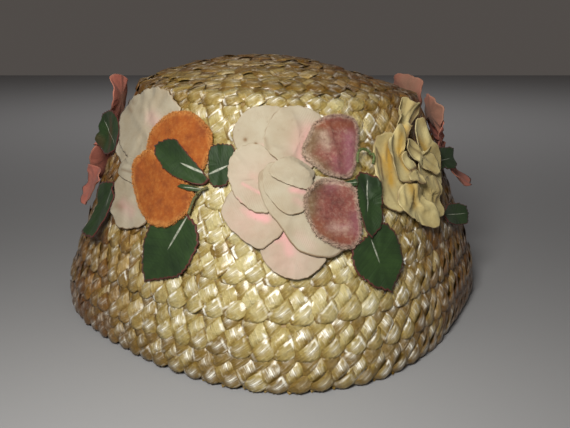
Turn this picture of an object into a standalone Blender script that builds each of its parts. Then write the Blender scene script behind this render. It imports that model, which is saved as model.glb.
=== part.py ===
"""Straw bucket hat with a garland of cut cloth flowers and leaves, in metres, +Z up.

The hat stands on its rim. Azimuths are in degrees from the front, -Y, and grow towards +X.
A place on the side is an azimuth and a height. A stand-off is measured square to the straw.
"""

import math

import bmesh
import bpy
import numpy as np

# The sewn straw
SIDE_RADIUS = 0.138
SHOULDER_RADIUS = 0.0872
SHOULDER_HEIGHT = 0.134
TIP_HEIGHT = 0.153
SIDE_BULGE = 1.21
DOME_BULGE = 2.03
STRAW = 0.0026
ROW = 0.0172
ROW_STEP = 0.0009
BRIM_ROWS = 2
SIDE_ROWS = 8
RIM_TURN_IN = 0.0035
RIM_TURN_HEIGHT = 0.020
CROWN_SHIFT = 0.0015
LEAN_RIGHT = -0.047
LEAN_BACK = 0.010
ROUND_STEPS = 56
BRIM_INSIDE_STEPS = 3
SIDE_INSIDE_STEPS = 4
TIP_INSIDE_STEPS = 6
PROFILE_STEPS = 120
PETAL_OVERRUN = 1.25
GAP = 0.0003

# Slow waves of the rim, which die out at the shoulder and are weaker at the back
WAVE_FADE = 0.7
BACK_START = 95
BACK_WAVE = 0.35
RIM_WAVES = (
    # folds, depth, turned
    (2, 0.0010, 136),
    (3, 0.0037, 106),
    (4, 0.0042, 47),
)

# Soft hollows pressed in the crown, which fade quickly below the shoulder
HOLLOW_FADE = 8
HOLLOWS = (
    # x, y, reach, depth
    (0.050, 0.012, 0.026, 0.0030),
    (-0.030, -0.045, 0.020, 0.0012),
)

# The cut cloth
CLOTH = 0.0010
VELVET = 0.0013
LEAF = 0.0010
SEAT = 0.0004
LAYER_GAP = 0.00035
SPOKES = 16
RINGS = 2
SAMPLES = 6
NEAR = 0.09
EDGE_REACH = 0.0008
NOTCH_WIDTH = 0.30
RUFFLES = 3
RUFFLE_TURN = 0.7

# Each flower and leaf is laid on what is listed above it
PIECES = (
    # name, kind, azimuth, height, turn, length, width, widest, tip, base, lift, ruffle, notch, notch_at
    ("coral_left_petal_up", "coral", -91.5, 0.1075, 46, 0.0345, 0.0245, 0.67, 1.1, 1.4, 0.01, 0.002, 0, 0),
    ("coral_left_petal_front", "coral", -93, 0.0935, 71, 0.0285, 0.026, 0.57, 1.0, 1.3, 0.006, 0.002, 0, 0),
    ("coral_left_petal_down", "coral", -95.5, 0.0855, 101, 0.02, 0.036, 0.57, 1.0, 1.3, 0.008, 0.0015, 0, 0),
    ("coral_left_petal_back", "coral", -73.5, 0.0765, -116, 0.0305, 0.024, 0.62, 1.1, 1.3, 0.007, 0, 0, 0),
    ("coral_left_heart", "coral", -88, 0.09, 30, 0.018, 0.015, 0.55, 1.0, 1.2, 0.005, 0.0015, 0, 0),
    ("coral_right_petal_up", "coral", 118, 0.1115, -31, 0.0345, 0.0385, 0.68, 0.9, 1.3, 0.011, 0.002, 0, 0),
    ("coral_right_petal_front", "coral", 93.5, 0.1135, -70, 0.027, 0.0285, 0.60, 1.0, 1.3, 0.007, 0.002, 0, 0),
    ("coral_right_petal_down", "coral", 82, 0.102, 172, 0.036, 0.03, 0.62, 1.0, 1.3, 0.01, 0.002, 0, 0),
    ("coral_right_petal_back", "coral", 86, 0.102, 88, 0.03, 0.026, 0.62, 1.0, 1.3, 0.004, 0.0015, 0, 0),
    ("coral_right_heart", "coral", 84, 0.099, -20, 0.018, 0.015, 0.55, 1.0, 1.2, 0.005, 0.0015, 0, 0),
    ("leaf_far_right_upper", "leaf", 64, 0.095, 100, 0.027, 0.0165, 0.50, 1.5, 1.5, 0.0075, 0, 0, 0),
    ("leaf_far_right_lower", "leaf", 60, 0.065, 107, 0.031, 0.0165, 0.52, 1.5, 1.5, 0.0085, 0, 0, 0),
    ("left_petal_side", "ivory", -42.5, 0.1025, -76, 0.0375, 0.035, 0.54, 1.0, 1.4, 0.002, 0, 0, 0),
    ("left_petal_top", "ivory", -36, 0.112, -84, 0.0465, 0.041, 0.38, 1.0, 1.3, 0.002, 0, 0, 0),
    ("left_petal_bottom", "ivory", -37, 0.079, -94, 0.038, 0.031, 0.52, 0.9, 1.4, 0.001, 0, 0.1, 20),
    ("left_petal_small", "ivory", -42, 0.0905, -93, 0.0235, 0.015, 0.31, 1.0, 1.2, 0.001, 0, 0, 0),
    ("leaf_far_left_upper", "leaf", -65.5, 0.0975, -64, 0.0285, 0.0255, 0.53, 1.5, 1.4, 0.011, 0, 0, 0),
    ("leaf_far_left_lower", "leaf", -58.5, 0.087, -188, 0.0445, 0.023, 0.55, 1.5, 1.5, 0.01, 0, 0, 0),
    ("leaf_left_hanging", "leaf", -22.5, 0.0755, -147, 0.0445, 0.033, 0.33, 1.5, 1.4, 0.001, 0, 0, 0),
    ("orange_velvet_upper", "orange", -24.5, 0.0905, -29, 0.039, 0.042, 0.49, 1.0, 1.3, 0.001, 0, 0, 0),
    ("orange_velvet_lower", "orange", -28, 0.103, -154, 0.0385, 0.0445, 0.55, 1.0, 1.2, 0.001, 0, 0, 0),
    ("leaf_left_right", "leaf", -18.5, 0.092, 44, 0.024, 0.0265, 0.64, 1.4, 1.5, 0.001, 0, 0, 0),
    ("leaflet_left", "leaf", -18, 0.0895, -94, 0.015, 0.005, 0.50, 1.3, 1.3, 0.001, 0, 0, 0),
    ("leaf_left_upper", "leaf", -17.5, 0.0905, -61, 0.039, 0.015, 0.67, 1.4, 1.4, 0.001, 0, 0, 0),
    ("centre_petal_bottom", "ivory", 4.5, 0.0805, -178, 0.0295, 0.0305, 0.61, 1.0, 1.4, 0.001, 0, 0, 0),
    ("centre_petal_low_left", "ivory", 2.5, 0.09, -126, 0.032, 0.0315, 0.66, 1.0, 1.4, 0.001, 0, 0, 0),
    ("centre_petal_top_left", "ivory", 2, 0.104, -32, 0.032, 0.0325, 0.58, 1.0, 1.4, 0.001, 0, 0, 0),
    ("centre_petal_left", "ivory", 5.5, 0.0995, -101, 0.0335, 0.035, 0.58, 1.1, 1.4, 0.001, 0, 0, 0),
    ("centre_petal_top", "ivory", 6.5, 0.1, -2, 0.034, 0.0305, 0.46, 1.0, 1.4, 0.001, 0, 0, 0),
    ("centre_petal_low_right", "ivory", 10, 0.098, 181, 0.039, 0.0475, 0.27, 1.0, 1.2, 0.001, 0, 0.16, 50),
    ("centre_petal_inner_low", "ivory", 8.5, 0.096, -109, 0.022, 0.0275, 0.53, 1.0, 1.2, 0.001, 0, 0, 0),
    ("centre_petal_inner_top", "ivory", 10, 0.0945, -73, 0.0235, 0.013, 0.46, 1.0, 1.0, 0.001, 0, 0, 0),
    ("rose_petal_left", "yellow", 42.5, 0.0935, -84, 0.0285, 0.042, 0.59, 1.0, 1.3, 0.002, 0.002, 0, 0),
    ("rose_petal_top", "yellow", 38.5, 0.1105, 57, 0.0365, 0.026, 0.68, 1.0, 1.3, 0.003, 0.0025, 0, 0),
    ("rose_petal_right", "yellow", 45, 0.101, 76, 0.034, 0.036, 0.63, 1.0, 1.3, 0.003, 0.0025, 0, 0),
    ("rose_petal_low_right", "yellow", 44, 0.09, 100, 0.036, 0.03, 0.63, 1.0, 1.3, 0.002, 0.0025, 0, 0),
    ("rose_petal_bottom", "yellow", 36.5, 0.09, 123, 0.0445, 0.029, 0.66, 1.0, 1.3, 0.003, 0.0025, 0, 0),
    ("rose_inner_left", "yellow", 45.5, 0.0935, -76, 0.0295, 0.0235, 0.57, 1.0, 1.2, 0.006, 0.002, 0, 0),
    ("rose_inner_right", "yellow", 45, 0.096, 51, 0.0185, 0.0255, 0.63, 1.0, 1.2, 0.006, 0.002, 0, 0),
    ("rose_inner_bottom", "yellow", 44, 0.103, 176, 0.0205, 0.0315, 0.58, 1.0, 1.2, 0.005, 0.002, 0, 0),
    ("leaf_right_lower", "leaf", 23, 0.078, 169, 0.039, 0.033, 0.45, 1.5, 1.4, 0.001, 0, 0, 0),
    ("leaf_right_upper", "leaf", 25.5, 0.103, -174, 0.0395, 0.014, 0.57, 1.4, 1.3, 0.001, 0, 0, 0),
    ("leaflet_right", "leaf", 22, 0.094, -86, 0.009, 0.0035, 0.50, 1.3, 1.3, 0.001, 0, 0, 0),
    ("pink_velvet_lower", "pink", 11.5, 0.0965, 164, 0.035, 0.0245, 0.45, 1.0, 1.0, 0.001, 0, 0, 0),
    ("pink_velvet_upper", "pink", 12, 0.097, 23, 0.0335, 0.026, 0.45, 1.0, 1.0, 0.001, 0, 0, 0),
    ("leaf_back_left", "leaf", -124, 0.092, -96, 0.046, 0.026, 0.50, 1.4, 1.4, 0.001, 0, 0, 0),
    ("leaf_back_right", "leaf", 126, 0.092, 98, 0.046, 0.026, 0.50, 1.4, 1.4, 0.001, 0, 0, 0),
    ("back_petal_low_left", "ivory", 178, 0.088, -128, 0.04, 0.034, 0.68, 1.0, 1.4, 0.001, 0, 0, 0),
    ("back_petal_low_right", "ivory", 182, 0.088, 128, 0.04, 0.034, 0.68, 1.0, 1.4, 0.001, 0, 0, 0),
    ("back_petal_top_left", "ivory", 178, 0.096, -46, 0.04, 0.034, 0.68, 1.0, 1.4, 0.001, 0, 0, 0),
    ("back_petal_top_right", "ivory", 182, 0.096, 42, 0.04, 0.034, 0.68, 1.0, 1.4, 0.001, 0, 0, 0),
    ("back_velvet", "orange", 180, 0.082, 4, 0.03, 0.026, 0.55, 1.0, 1.1, 0.001, 0, 0, 0),
)
COLUMNS = (
    "name", "kind", "azimuth", "height", "turn", "length", "width", "widest", "tip", "base",
    "lift", "ruffle", "notch", "notch_at",
)

# Wires wound in green, laid over the petals below them
STEM_RADIUS = 0.0009
STEM_REACH = 0.004
STEM_POINTS = 5
STEMS = (
    # name, then azimuth and height of both ends, and how far its middle bows sideways
    ("stem_left", -17.5, 0.0895, -22.0, 0.0775, 0.0025),
    ("stem_right_curl", 21.0, 0.1035, 25.0, 0.1020, 0.0055),
)

# kind: colour, roughness, thickness
KINDS = {
    "ivory": ((0.72, 0.63, 0.50), 0.85, CLOTH),
    "yellow": ((0.78, 0.64, 0.30), 0.85, CLOTH),
    "coral": ((0.72, 0.26, 0.18), 0.85, CLOTH),
    "pink": ((0.42, 0.13, 0.15), 0.95, VELVET),
    "orange": ((0.62, 0.20, 0.035), 0.95, VELVET),
    "leaf": ((0.035, 0.085, 0.035), 0.75, LEAF),
    "stem": ((0.13, 0.16, 0.05), 0.7, STEM_RADIUS),
    "straw": ((0.56, 0.44, 0.20), 0.35, STRAW),
}


def clear_scene():
    for obj in list(bpy.data.objects):
        bpy.data.objects.remove(obj, do_unlink=True)


def side_line(height):
    """Radius of the side at a height, also above the shoulder, where petals stand straight on."""
    share = np.maximum(height, 0.0) / SHOULDER_HEIGHT
    radius = SIDE_RADIUS - (SIDE_RADIUS - SHOULDER_RADIUS) * share**SIDE_BULGE
    turn = np.clip(1 - height / RIM_TURN_HEIGHT, 0, 1)
    return radius - RIM_TURN_IN * turn**2


def measured(radius, height):
    """A half profile with the length along it and its outward normals."""
    along = np.concatenate([[0.0], np.cumsum(np.hypot(np.diff(radius), np.diff(height)))])
    out = np.gradient(height, along)
    up = -np.gradient(radius, along)
    return {"along": along, "radius": radius, "height": height, "out": out, "up": up}


def side_profile():
    """The side, carried on above the shoulder for the petals that stand out over it."""
    height = np.linspace(0, PETAL_OVERRUN * SHOULDER_HEIGHT, PROFILE_STEPS)
    return measured(side_line(height), height)


def hat_profile():
    """The side up to the shoulder, then the low dome to the tip."""
    height = np.linspace(0, SHOULDER_HEIGHT, PROFILE_STEPS)
    share = np.linspace(0, 1, PROFILE_STEPS)[1:]
    dome_radius = SHOULDER_RADIUS * (1 - share)
    dome_height = SHOULDER_HEIGHT + (TIP_HEIGHT - SHOULDER_HEIGHT) * (1 - (1 - share) ** DOME_BULGE)
    radius = np.concatenate([side_line(height), dome_radius])
    return measured(radius, np.concatenate([height, dome_height]))


SIDE = side_profile()
HAT = hat_profile()


def wave(azimuth):
    """How far the rim wanders in or out at an azimuth."""
    angle = np.radians(azimuth - 90)
    wander = sum(depth * np.cos(folds * angle - math.radians(turned)) for folds, depth, turned in RIM_WAVES)
    from_front = np.abs((azimuth + 180) % 360 - 180)
    share = np.clip((from_front - BACK_START) / (180 - BACK_START), 0, 1)
    return wander * (1 - (1 - BACK_WAVE) * share**2 * (3 - 2 * share))


def hollow(x, y):
    """How deep the crown is pressed in at a place."""
    return sum(depth * np.exp(-((x - cx) ** 2 + (y - cy) ** 2) / reach**2) for cx, cy, reach, depth in HOLLOWS)


def place(profile, azimuth, along, off):
    """Points on a profile, moved out by off, with the hat's waves, lean and hollows."""
    azimuth = np.asarray(azimuth, float)
    angle = np.radians(azimuth - 90)
    radius = np.interp(along, profile["along"], profile["radius"])
    height = np.interp(along, profile["along"], profile["height"])
    out = np.interp(along, profile["along"], profile["out"])
    up = np.interp(along, profile["along"], profile["up"])
    share = np.clip(height / SHOULDER_HEIGHT, 0, PETAL_OVERRUN)
    radius = radius + np.clip(1 - share, 0, 1) ** WAVE_FADE * wave(azimuth) + off * out
    x = radius * np.cos(angle)
    y = radius * np.sin(angle)
    crown = np.clip(share, 0, 1) ** HOLLOW_FADE
    z = height + off * up + share**2 * (LEAN_RIGHT * x + LEAN_BACK * y) - crown * hollow(x, y)
    return np.stack([x + CROWN_SHIFT * share - MIDDLE[0], y - MIDDLE[1], z], axis=-1)


def box_middle():
    """The middle of the hat's box in x and y, which becomes the origin."""
    steps = np.linspace(0, 360, ROUND_STEPS, endpoint=False)
    azimuth, along = np.meshgrid(steps, straw_rows(0, BRIM_ROWS)[0])
    points = place(HAT, azimuth, along, np.zeros_like(along)).reshape(-1, 3)
    return (points.max(axis=0) + points.min(axis=0)) / 2


def straw_rows(first, last):
    """Outer line of plait rows: each row's lower edge stands a little over the row below."""
    along, off = [], []
    for row in range(first, last):
        along += [row * ROW, (row + 1) * ROW - ROW_STEP]
        off += [0.0, -ROW_STEP]
    if first == 0:
        along.insert(1, RIM_TURN_HEIGHT / 2)
        off.insert(1, 0.0)
    return np.array(along), np.array(off)


def new_mesh_object(name, mesh, kind, collection):
    obj = bpy.data.objects.new(name, mesh)
    collection.objects.link(obj)
    mesh.materials.clear()
    mesh.materials.append(material(kind))
    return obj


def material(kind):
    found = bpy.data.materials.get(kind)
    if found:
        return found
    colour, roughness, _ = KINDS[kind]
    made = bpy.data.materials.new(kind)
    made.use_nodes = True
    shader = made.node_tree.nodes["Principled BSDF"]
    shader.inputs["Base Color"].default_value = (*colour, 1)
    shader.inputs["Roughness"].default_value = roughness
    return made


def lofted(name, along, off, collection, ring):
    """Straw lofted round the hat through a section that closes on itself, or one that passes the tip."""
    steps = np.linspace(0, 360, ROUND_STEPS, endpoint=False)
    bm = bmesh.new()
    sections = []
    for azimuth in steps:
        points = place(HAT, azimuth, along, off)
        sections.append([bm.verts.new(point) for point in points])
    last = len(along) if ring else len(along) - 1
    for step, section in enumerate(sections):
        beside = sections[(step + 1) % len(sections)]
        for i in range(last):
            j = (i + 1) % len(along)
            bm.faces.new((section[i], beside[i], beside[j], section[j]))
    bmesh.ops.remove_doubles(bm, verts=bm.verts, dist=1e-6)
    bmesh.ops.recalc_face_normals(bm, faces=bm.faces)
    mesh = bpy.data.meshes.new(name)
    bm.to_mesh(mesh)
    bm.free()
    return new_mesh_object(name, mesh, "straw", collection)


def straw_ring(name, first, last, inside_steps, collection):
    """Plait rows first to last as one closed ring, ending just short of the row above."""
    along, off = straw_rows(first, last)
    along[-1] = last * ROW - GAP
    inside = np.linspace(along[-1], along[0], inside_steps)
    along = np.concatenate([along, inside])
    off = np.concatenate([off, np.full(inside_steps, -STRAW)])
    return lofted(name, along, off, collection, ring=True)


def straw_tip(collection):
    """The top: rows from the shoulder to the middle, and the hollow under them."""
    end = HAT["along"][-1]
    along, off = straw_rows(SIDE_ROWS, int(end // ROW) + 1)
    keep = along < end - ROW / 4
    along = np.append(along[keep], end)
    off = np.append(off[keep], 0.0)
    inside = np.linspace(end, SIDE_ROWS * ROW, TIP_INSIDE_STEPS)
    along = np.concatenate([along, inside, along[:1]])
    off = np.concatenate([off, np.full(TIP_INSIDE_STEPS, -STRAW), off[:1]])
    return lofted("crown_tip", along, off, collection, ring=False)


def flatten_rim(obj):
    """The rim's underside is cut flat, so that the hat stands on it."""
    for vertex in obj.data.vertices:
        if vertex.co.z < ROW_STEP:
            vertex.co.z = 0.0


def outline(piece, angle):
    """A cut piece's edge, as lengths along it and across it, round its widest place."""
    eye = piece["widest"] * piece["length"]
    ahead = np.cos(angle)
    reach = np.where(ahead > 0, piece["length"] - eye, eye)
    power = np.where(ahead > 0, piece["tip"], piece["base"])
    turned = (np.degrees(angle) - piece["notch_at"] + 180) % 360 - 180
    notch = 1 - piece["notch"] * np.exp(-((np.radians(turned) / NOTCH_WIDTH) ** 2))
    across = np.sign(np.sin(angle)) * np.abs(np.sin(angle)) ** power
    return eye, reach * ahead * notch, piece["width"] / 2 * across * notch


def flat_piece(piece):
    """Where a cut piece's points lie on the side, from its widest place out, and how far they rise."""
    angle = np.linspace(0, 2 * math.pi, SPOKES, endpoint=False)
    eye, edge_u, edge_v = outline(piece, angle)
    share = np.repeat(np.arange(1, RINGS + 1) / RINGS, SPOKES)
    u = np.append(eye, eye + share * np.tile(edge_u, RINGS))
    v = np.append(0.0, share * np.tile(edge_v, RINGS))
    turn = math.radians(piece["turn"])
    start = np.interp(piece["height"], SIDE["height"], SIDE["along"])
    along = start + u * math.cos(turn) - v * math.sin(turn)
    radius = np.interp(along, SIDE["along"], SIDE["radius"])
    azimuth = piece["azimuth"] + np.degrees((u * math.sin(turn) + v * math.cos(turn)) / radius)
    rise = piece["lift"] * np.clip(u / piece["length"], 0, 1) ** 2
    fold = (1 + np.cos(RUFFLES * np.tile(angle, RINGS) + RUFFLE_TURN)) / 2
    rise[1:] += piece["ruffle"] * share**2 * fold
    return azimuth, along, rise


def facets():
    """Corners of the triangles round the middle point and between the rings."""
    made = []
    for i in range(SPOKES):
        j = (i + 1) % SPOKES
        made.append((0, 1 + j, 1 + i))
        for inner in range(1, 1 + (RINGS - 1) * SPOKES, SPOKES):
            outer = inner + SPOKES
            made.append((inner + i, inner + j, outer + j))
            made.append((inner + i, outer + j, outer + i))
    return np.array(made)


def sample_weights():
    """Shares of a triangle's three corners at evenly spaced places in it."""
    steps = range(SAMPLES + 1)
    return np.array([(a, b, SAMPLES - a - b) for a in steps for b in steps if a + b <= SAMPLES]) / SAMPLES


def spread(azimuth, along):
    """Flat distances for comparing places that lie near each other."""
    radius = np.interp(along, SIDE["along"], SIDE["radius"])
    return np.stack([np.radians(azimuth) * radius, along], axis=-1)


def shares_of(corners, places):
    """Each triangle's corner shares at each place, and whether the place lies in it or close by."""
    origin = corners[:, 2]
    a, b = corners[:, 0] - origin, corners[:, 1] - origin
    size = a[:, 0] * b[:, 1] - a[:, 1] * b[:, 0]
    away = places[None, :, :] - origin[:, None, :]
    first = (away[..., 0] * b[:, None, 1] - away[..., 1] * b[:, None, 0]) / size[:, None]
    second = (a[:, None, 0] * away[..., 1] - a[:, None, 1] * away[..., 0]) / size[:, None]
    shares = np.stack([first, second, 1 - first - second], axis=-1)
    return shares, shares.min(axis=-1) > -EDGE_REACH / np.sqrt(np.abs(size))[:, None]


def raised(flat, triangles, off, laid):
    """Stand-offs raised just enough for every triangle to clear the pieces already laid."""
    raise_by = np.zeros_like(off)
    for places, tops in laid:
        if np.hypot(*(flat[0] - places[0])) > NEAR:
            continue
        shares, inside = shares_of(flat[triangles], places)
        level = (shares * off[triangles][:, None, :]).sum(axis=-1)
        lack = np.where(inside, tops[None, :] + LAYER_GAP - level, 0.0).clip(min=0)
        wanted = lack[..., None] * (shares.clip(min=0) / (shares**2).sum(axis=-1)[..., None])
        np.maximum.at(raise_by, triangles, wanted.max(axis=1))
    return off + raise_by


def lay_piece(piece, laid, collection):
    """One cut piece, resting on the straw and on the pieces under it."""
    azimuth, along, rise = flat_piece(piece)
    triangles = facets()
    flat = spread(azimuth, along)
    off = raised(flat, triangles, SEAT + rise, laid)
    thickness = KINDS[piece["kind"]][2]
    weights = sample_weights()
    places = np.einsum("sc,tcx->tsx", weights, flat[triangles]).reshape(-1, 2)
    laid.append((places, (weights @ (off + thickness)[triangles].T).T.reshape(-1)))
    bm = bmesh.new()
    corners = [bm.verts.new(point) for point in place(SIDE, azimuth, along, off)]
    for triangle in triangles:
        bm.faces.new([corners[i] for i in triangle])
    mesh = bpy.data.meshes.new(piece["name"])
    bm.to_mesh(mesh)
    bm.free()
    obj = new_mesh_object(piece["name"], mesh, piece["kind"], collection)
    wall = obj.modifiers.new("thickness", "SOLIDIFY")
    wall.thickness = thickness
    wall.offset = 1.0
    return obj


def cloth_height(laid, azimuth, along):
    """The highest cloth within a wire's reach of each place."""
    here = spread(azimuth, along)
    height = np.zeros(len(here))
    for places, tops in laid:
        apart = np.hypot(here[:, None, 0] - places[None, :, 0], here[:, None, 1] - places[None, :, 1])
        height = np.maximum(height, np.where(apart < STEM_REACH, tops[None, :], 0.0).max(axis=1))
    return height


def lay_stem(name, start, end, bow, laid, collection):
    """A thin wire with round section, lying on the cloth under it."""
    share = np.linspace(0, 1, STEM_POINTS)
    azimuth = start[0] + (end[0] - start[0]) * share
    height = start[1] + (end[1] - start[1]) * share
    along = np.interp(height, SIDE["height"], SIDE["along"]) + bow * np.sin(math.pi * share)
    off = np.maximum(cloth_height(laid, azimuth, along) + LAYER_GAP, SEAT) + STEM_RADIUS
    curve = bpy.data.curves.new(name, "CURVE")
    curve.dimensions = "3D"
    curve.bevel_depth = STEM_RADIUS
    curve.bevel_resolution = 1
    curve.use_fill_caps = True
    line = curve.splines.new("POLY")
    line.points.add(STEM_POINTS - 1)
    for point, co in zip(line.points, place(SIDE, azimuth, along, off)):
        point.co = (*co, 1)
    obj = bpy.data.objects.new(name, curve)
    collection.objects.link(obj)
    curve.materials.append(material("stem"))
    return obj


def build():
    global MIDDLE
    clear_scene()
    collection = bpy.data.collections.new("straw_bucket_hat")
    bpy.context.scene.collection.children.link(collection)
    MIDDLE = (0.0, 0.0)
    MIDDLE = tuple(box_middle()[:2])
    flatten_rim(straw_ring("brim", 0, BRIM_ROWS, BRIM_INSIDE_STEPS, collection))
    straw_ring("crown_side", BRIM_ROWS, SIDE_ROWS, SIDE_INSIDE_STEPS, collection)
    straw_tip(collection)
    laid = []
    for row in PIECES:
        lay_piece(dict(zip(COLUMNS, row)), laid, collection)
    for name, start_azimuth, start_height, end_azimuth, end_height, bow in STEMS:
        lay_stem(name, (start_azimuth, start_height), (end_azimuth, end_height), bow, laid, collection)


build()
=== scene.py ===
"""Looks of the straw bucket hat: plaited straw, cut cloth petals, velvet, leaves and wires."""

import math

import bmesh
import bpy
import numpy as np
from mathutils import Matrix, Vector


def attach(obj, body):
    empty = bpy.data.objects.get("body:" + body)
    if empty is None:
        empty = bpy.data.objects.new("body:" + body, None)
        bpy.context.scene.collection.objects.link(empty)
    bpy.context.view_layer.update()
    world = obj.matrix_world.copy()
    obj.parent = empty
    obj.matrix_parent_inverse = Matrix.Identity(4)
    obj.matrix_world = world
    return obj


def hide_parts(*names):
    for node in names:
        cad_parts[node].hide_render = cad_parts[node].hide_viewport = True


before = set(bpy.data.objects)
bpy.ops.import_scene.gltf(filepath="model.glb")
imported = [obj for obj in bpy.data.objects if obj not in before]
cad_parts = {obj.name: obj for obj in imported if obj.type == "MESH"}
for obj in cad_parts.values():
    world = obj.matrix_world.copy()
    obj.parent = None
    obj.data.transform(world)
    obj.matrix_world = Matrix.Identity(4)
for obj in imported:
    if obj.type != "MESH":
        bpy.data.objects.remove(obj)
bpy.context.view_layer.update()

# The hat's form, in metres, as its solids have it
SIDE_RADIUS = 0.138
SHOULDER_RADIUS = 0.0872
SHOULDER_HEIGHT = 0.134
TIP_HEIGHT = 0.153
SIDE_BULGE = 1.21
DOME_BULGE = 2.03
ROW = 0.0172
BRIM_ROWS = 2
SIDE_ROWS = 8
RIM_TURN_IN = 0.0035
RIM_TURN_HEIGHT = 0.020
CROWN_SHIFT = 0.0015
LEAN_RIGHT = -0.047
LEAN_BACK = 0.010
MIDDLE = (-0.000128, -0.003410)
PROFILE_STEPS = 240
PETAL_OVERRUN = 1.25
WAVE_FADE = 0.7
BACK_START = 95
BACK_WAVE = 0.35
RIM_WAVES = (
    # folds, depth, turned
    (2, 0.0010, 136),
    (3, 0.0037, 106),
    (4, 0.0042, 47),
)
HOLLOW_FADE = 8
HOLLOWS = (
    # x, y, reach, depth
    (0.050, 0.012, 0.026, 0.0030),
    (-0.030, -0.045, 0.020, 0.0012),
)

# The plait: its cells lean to the right, and each row has a folded edge and two courses over it
CELL = 0.0105
LONG_SIDE = (0.0074, 0.0064)
SHORT_SIDE = (-0.0031, 0.0064)
COURSES = (
    # kind, height over the row's edge, how far it stands out in a plain and in a proud row, tone, which is
    # lower for the folded edge and for the course under the next row: painted shade
    (2, 0.0037, -0.0009, -0.0001, 0.55),
    (1, 0.0101, -0.0012, -0.0008, 0.74),
    (0, 0.0160, -0.0016, -0.0018, 0.44),
)
PROUD_ROWS = (1, 2)
ROW_LOOKS = (
    # row by row: added tone, darker on the lowest rows as painted shade; how strong the painted highlights
    # on the edges and middles of the floats are; how thick the floats are
    (-0.54, 0.50, 1.10, 1.35),
    (-0.16, 0.75, 1.15, 1.20),
    (0.00, 1.25, 1.00, 0.95),
    (0.00, 1.70, 0.75, 0.75),
    (0.06, 1.80, 0.70, 0.72),
    (0.06, 1.70, 0.75, 0.75),
    (0.00, 1.30, 0.85, 0.80),
    (0.00, 1.00, 0.70, 0.85),
)
# The same for the rows of the crown, whose straw is darker
TOP_LOOKS = (-0.14, 0.75, 0.50, 0.85)
FEWEST_FLOATS = 5
RIM_LIFT = 0.0010
TIP_GAP = 0.002
# The unrolled chart has this many metres for a degree round the hat
DEGREE = 0.002
# Where the chart is eased off near the rim and the tip, and where the inside lies in it
LOWEST = 0.0009
TIP_EASE = 0.001
INSIDE_SHIFT = 0.003
INSIDE_DEPTH = 0.0030

# How the floats differ from one another: spreads of their place, tone, size and turn
ROUND_SPREAD = 0.035
ALONG_SPREAD = 0.00028
OFF_SPREAD = 0.00016
TONE_SPREAD = 0.13
SIZE_SPREAD = 0.035
YAW_SPREAD = 0.035
LOOSE = 0.11
BROWN_SHADE_RANGE = (0.6, 1.3)
# How strong the painted highlights on each float's edges and middle are, at random
PAINTED_EDGE_HIGHLIGHT_RANGE = (0.1, 1.25)
PAINTED_EDGE_HIGHLIGHT_POWER = 1.3
GLINT_RANGE = (0.0, 1.3)
GLINT_POWER = 1.5
# What browning and painted shade take from a float's tone, thickness, painted edge highlight, glint and
# looseness
BROWN_SHADE_TONE = 0.20
BROWN_SHADE_BULK = 0.25
BROWN_SHADE_EDGE_HIGHLIGHT = 0.85
BROWN_SHADE_GLINT = 0.65
BROWN_SHADE_LOOSE = 0.04
# Where the straw is made browner and darker: on the crown, more so at its back and right, and round the
# sides, in degrees from the front; round the sides and over the far right of the crown this is painted shade
BROWN_HEIGHT = 0.132
BROWN_FADE = 0.008
BROWN_BACK = -0.055
BROWN_BACK_FADE = 0.08
BROWN_RIGHT_FADE = 0.05
RIGHT_BROWN = 0.6
FAR_BROWN = 0.60
CROWN_BROWN = 0.38
BROWN_SIDES = (22, 62, 105, 150)
SIDE_BROWNS = (0, 1, 1, 0.3)
# How far the floats of each kind lean out, on the side and on the top
SIDE_LEANS = (0.10, 0.04, -0.10)
TOP_LEANS = (0.10, 0.04, -0.02)

# The form of one float: how far it passes its cell, its arch, its tucked ends and its fold
FLOAT_LENGTH = 1.36
FLOAT_WIDTH = 1.22
CROWNING = 0.0012
ARCH_POWER = 5.0
ARCH_DROP = 0.58
TUCK = 0.0014
TUCK_POWER = 2.1
FOLD_START = 0.0036
FOLD_RISE = 0.78
FOLD_DROP = 0.55
OUTSIDE_STEPS = (9, 7)
INSIDE_STEPS = (6, 5)
INSIDE_BULK = 0.9

# The wall behind the floats
WALL_START = 0.0028
WALL_FACE = 0.0015
WALL_BACK = 0.0024
WALL_STEPS = 20
WALL_ROUNDS = 112

# The relief of the cloth already laid, in degrees and metres, and how a piece is eased over it
LAYER_GAP = 0.0003
SEAT = 0.0007
RELIEF_ROUND = 0.3
RELIEF_UP = 0.0005
RELIEF_TOP = 0.185
EASE_ROUNDS = 44
EASE_BESIDE = 0.35
EASE_ACROSS = 0.35
EASE_KEPT = 0.3

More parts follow.
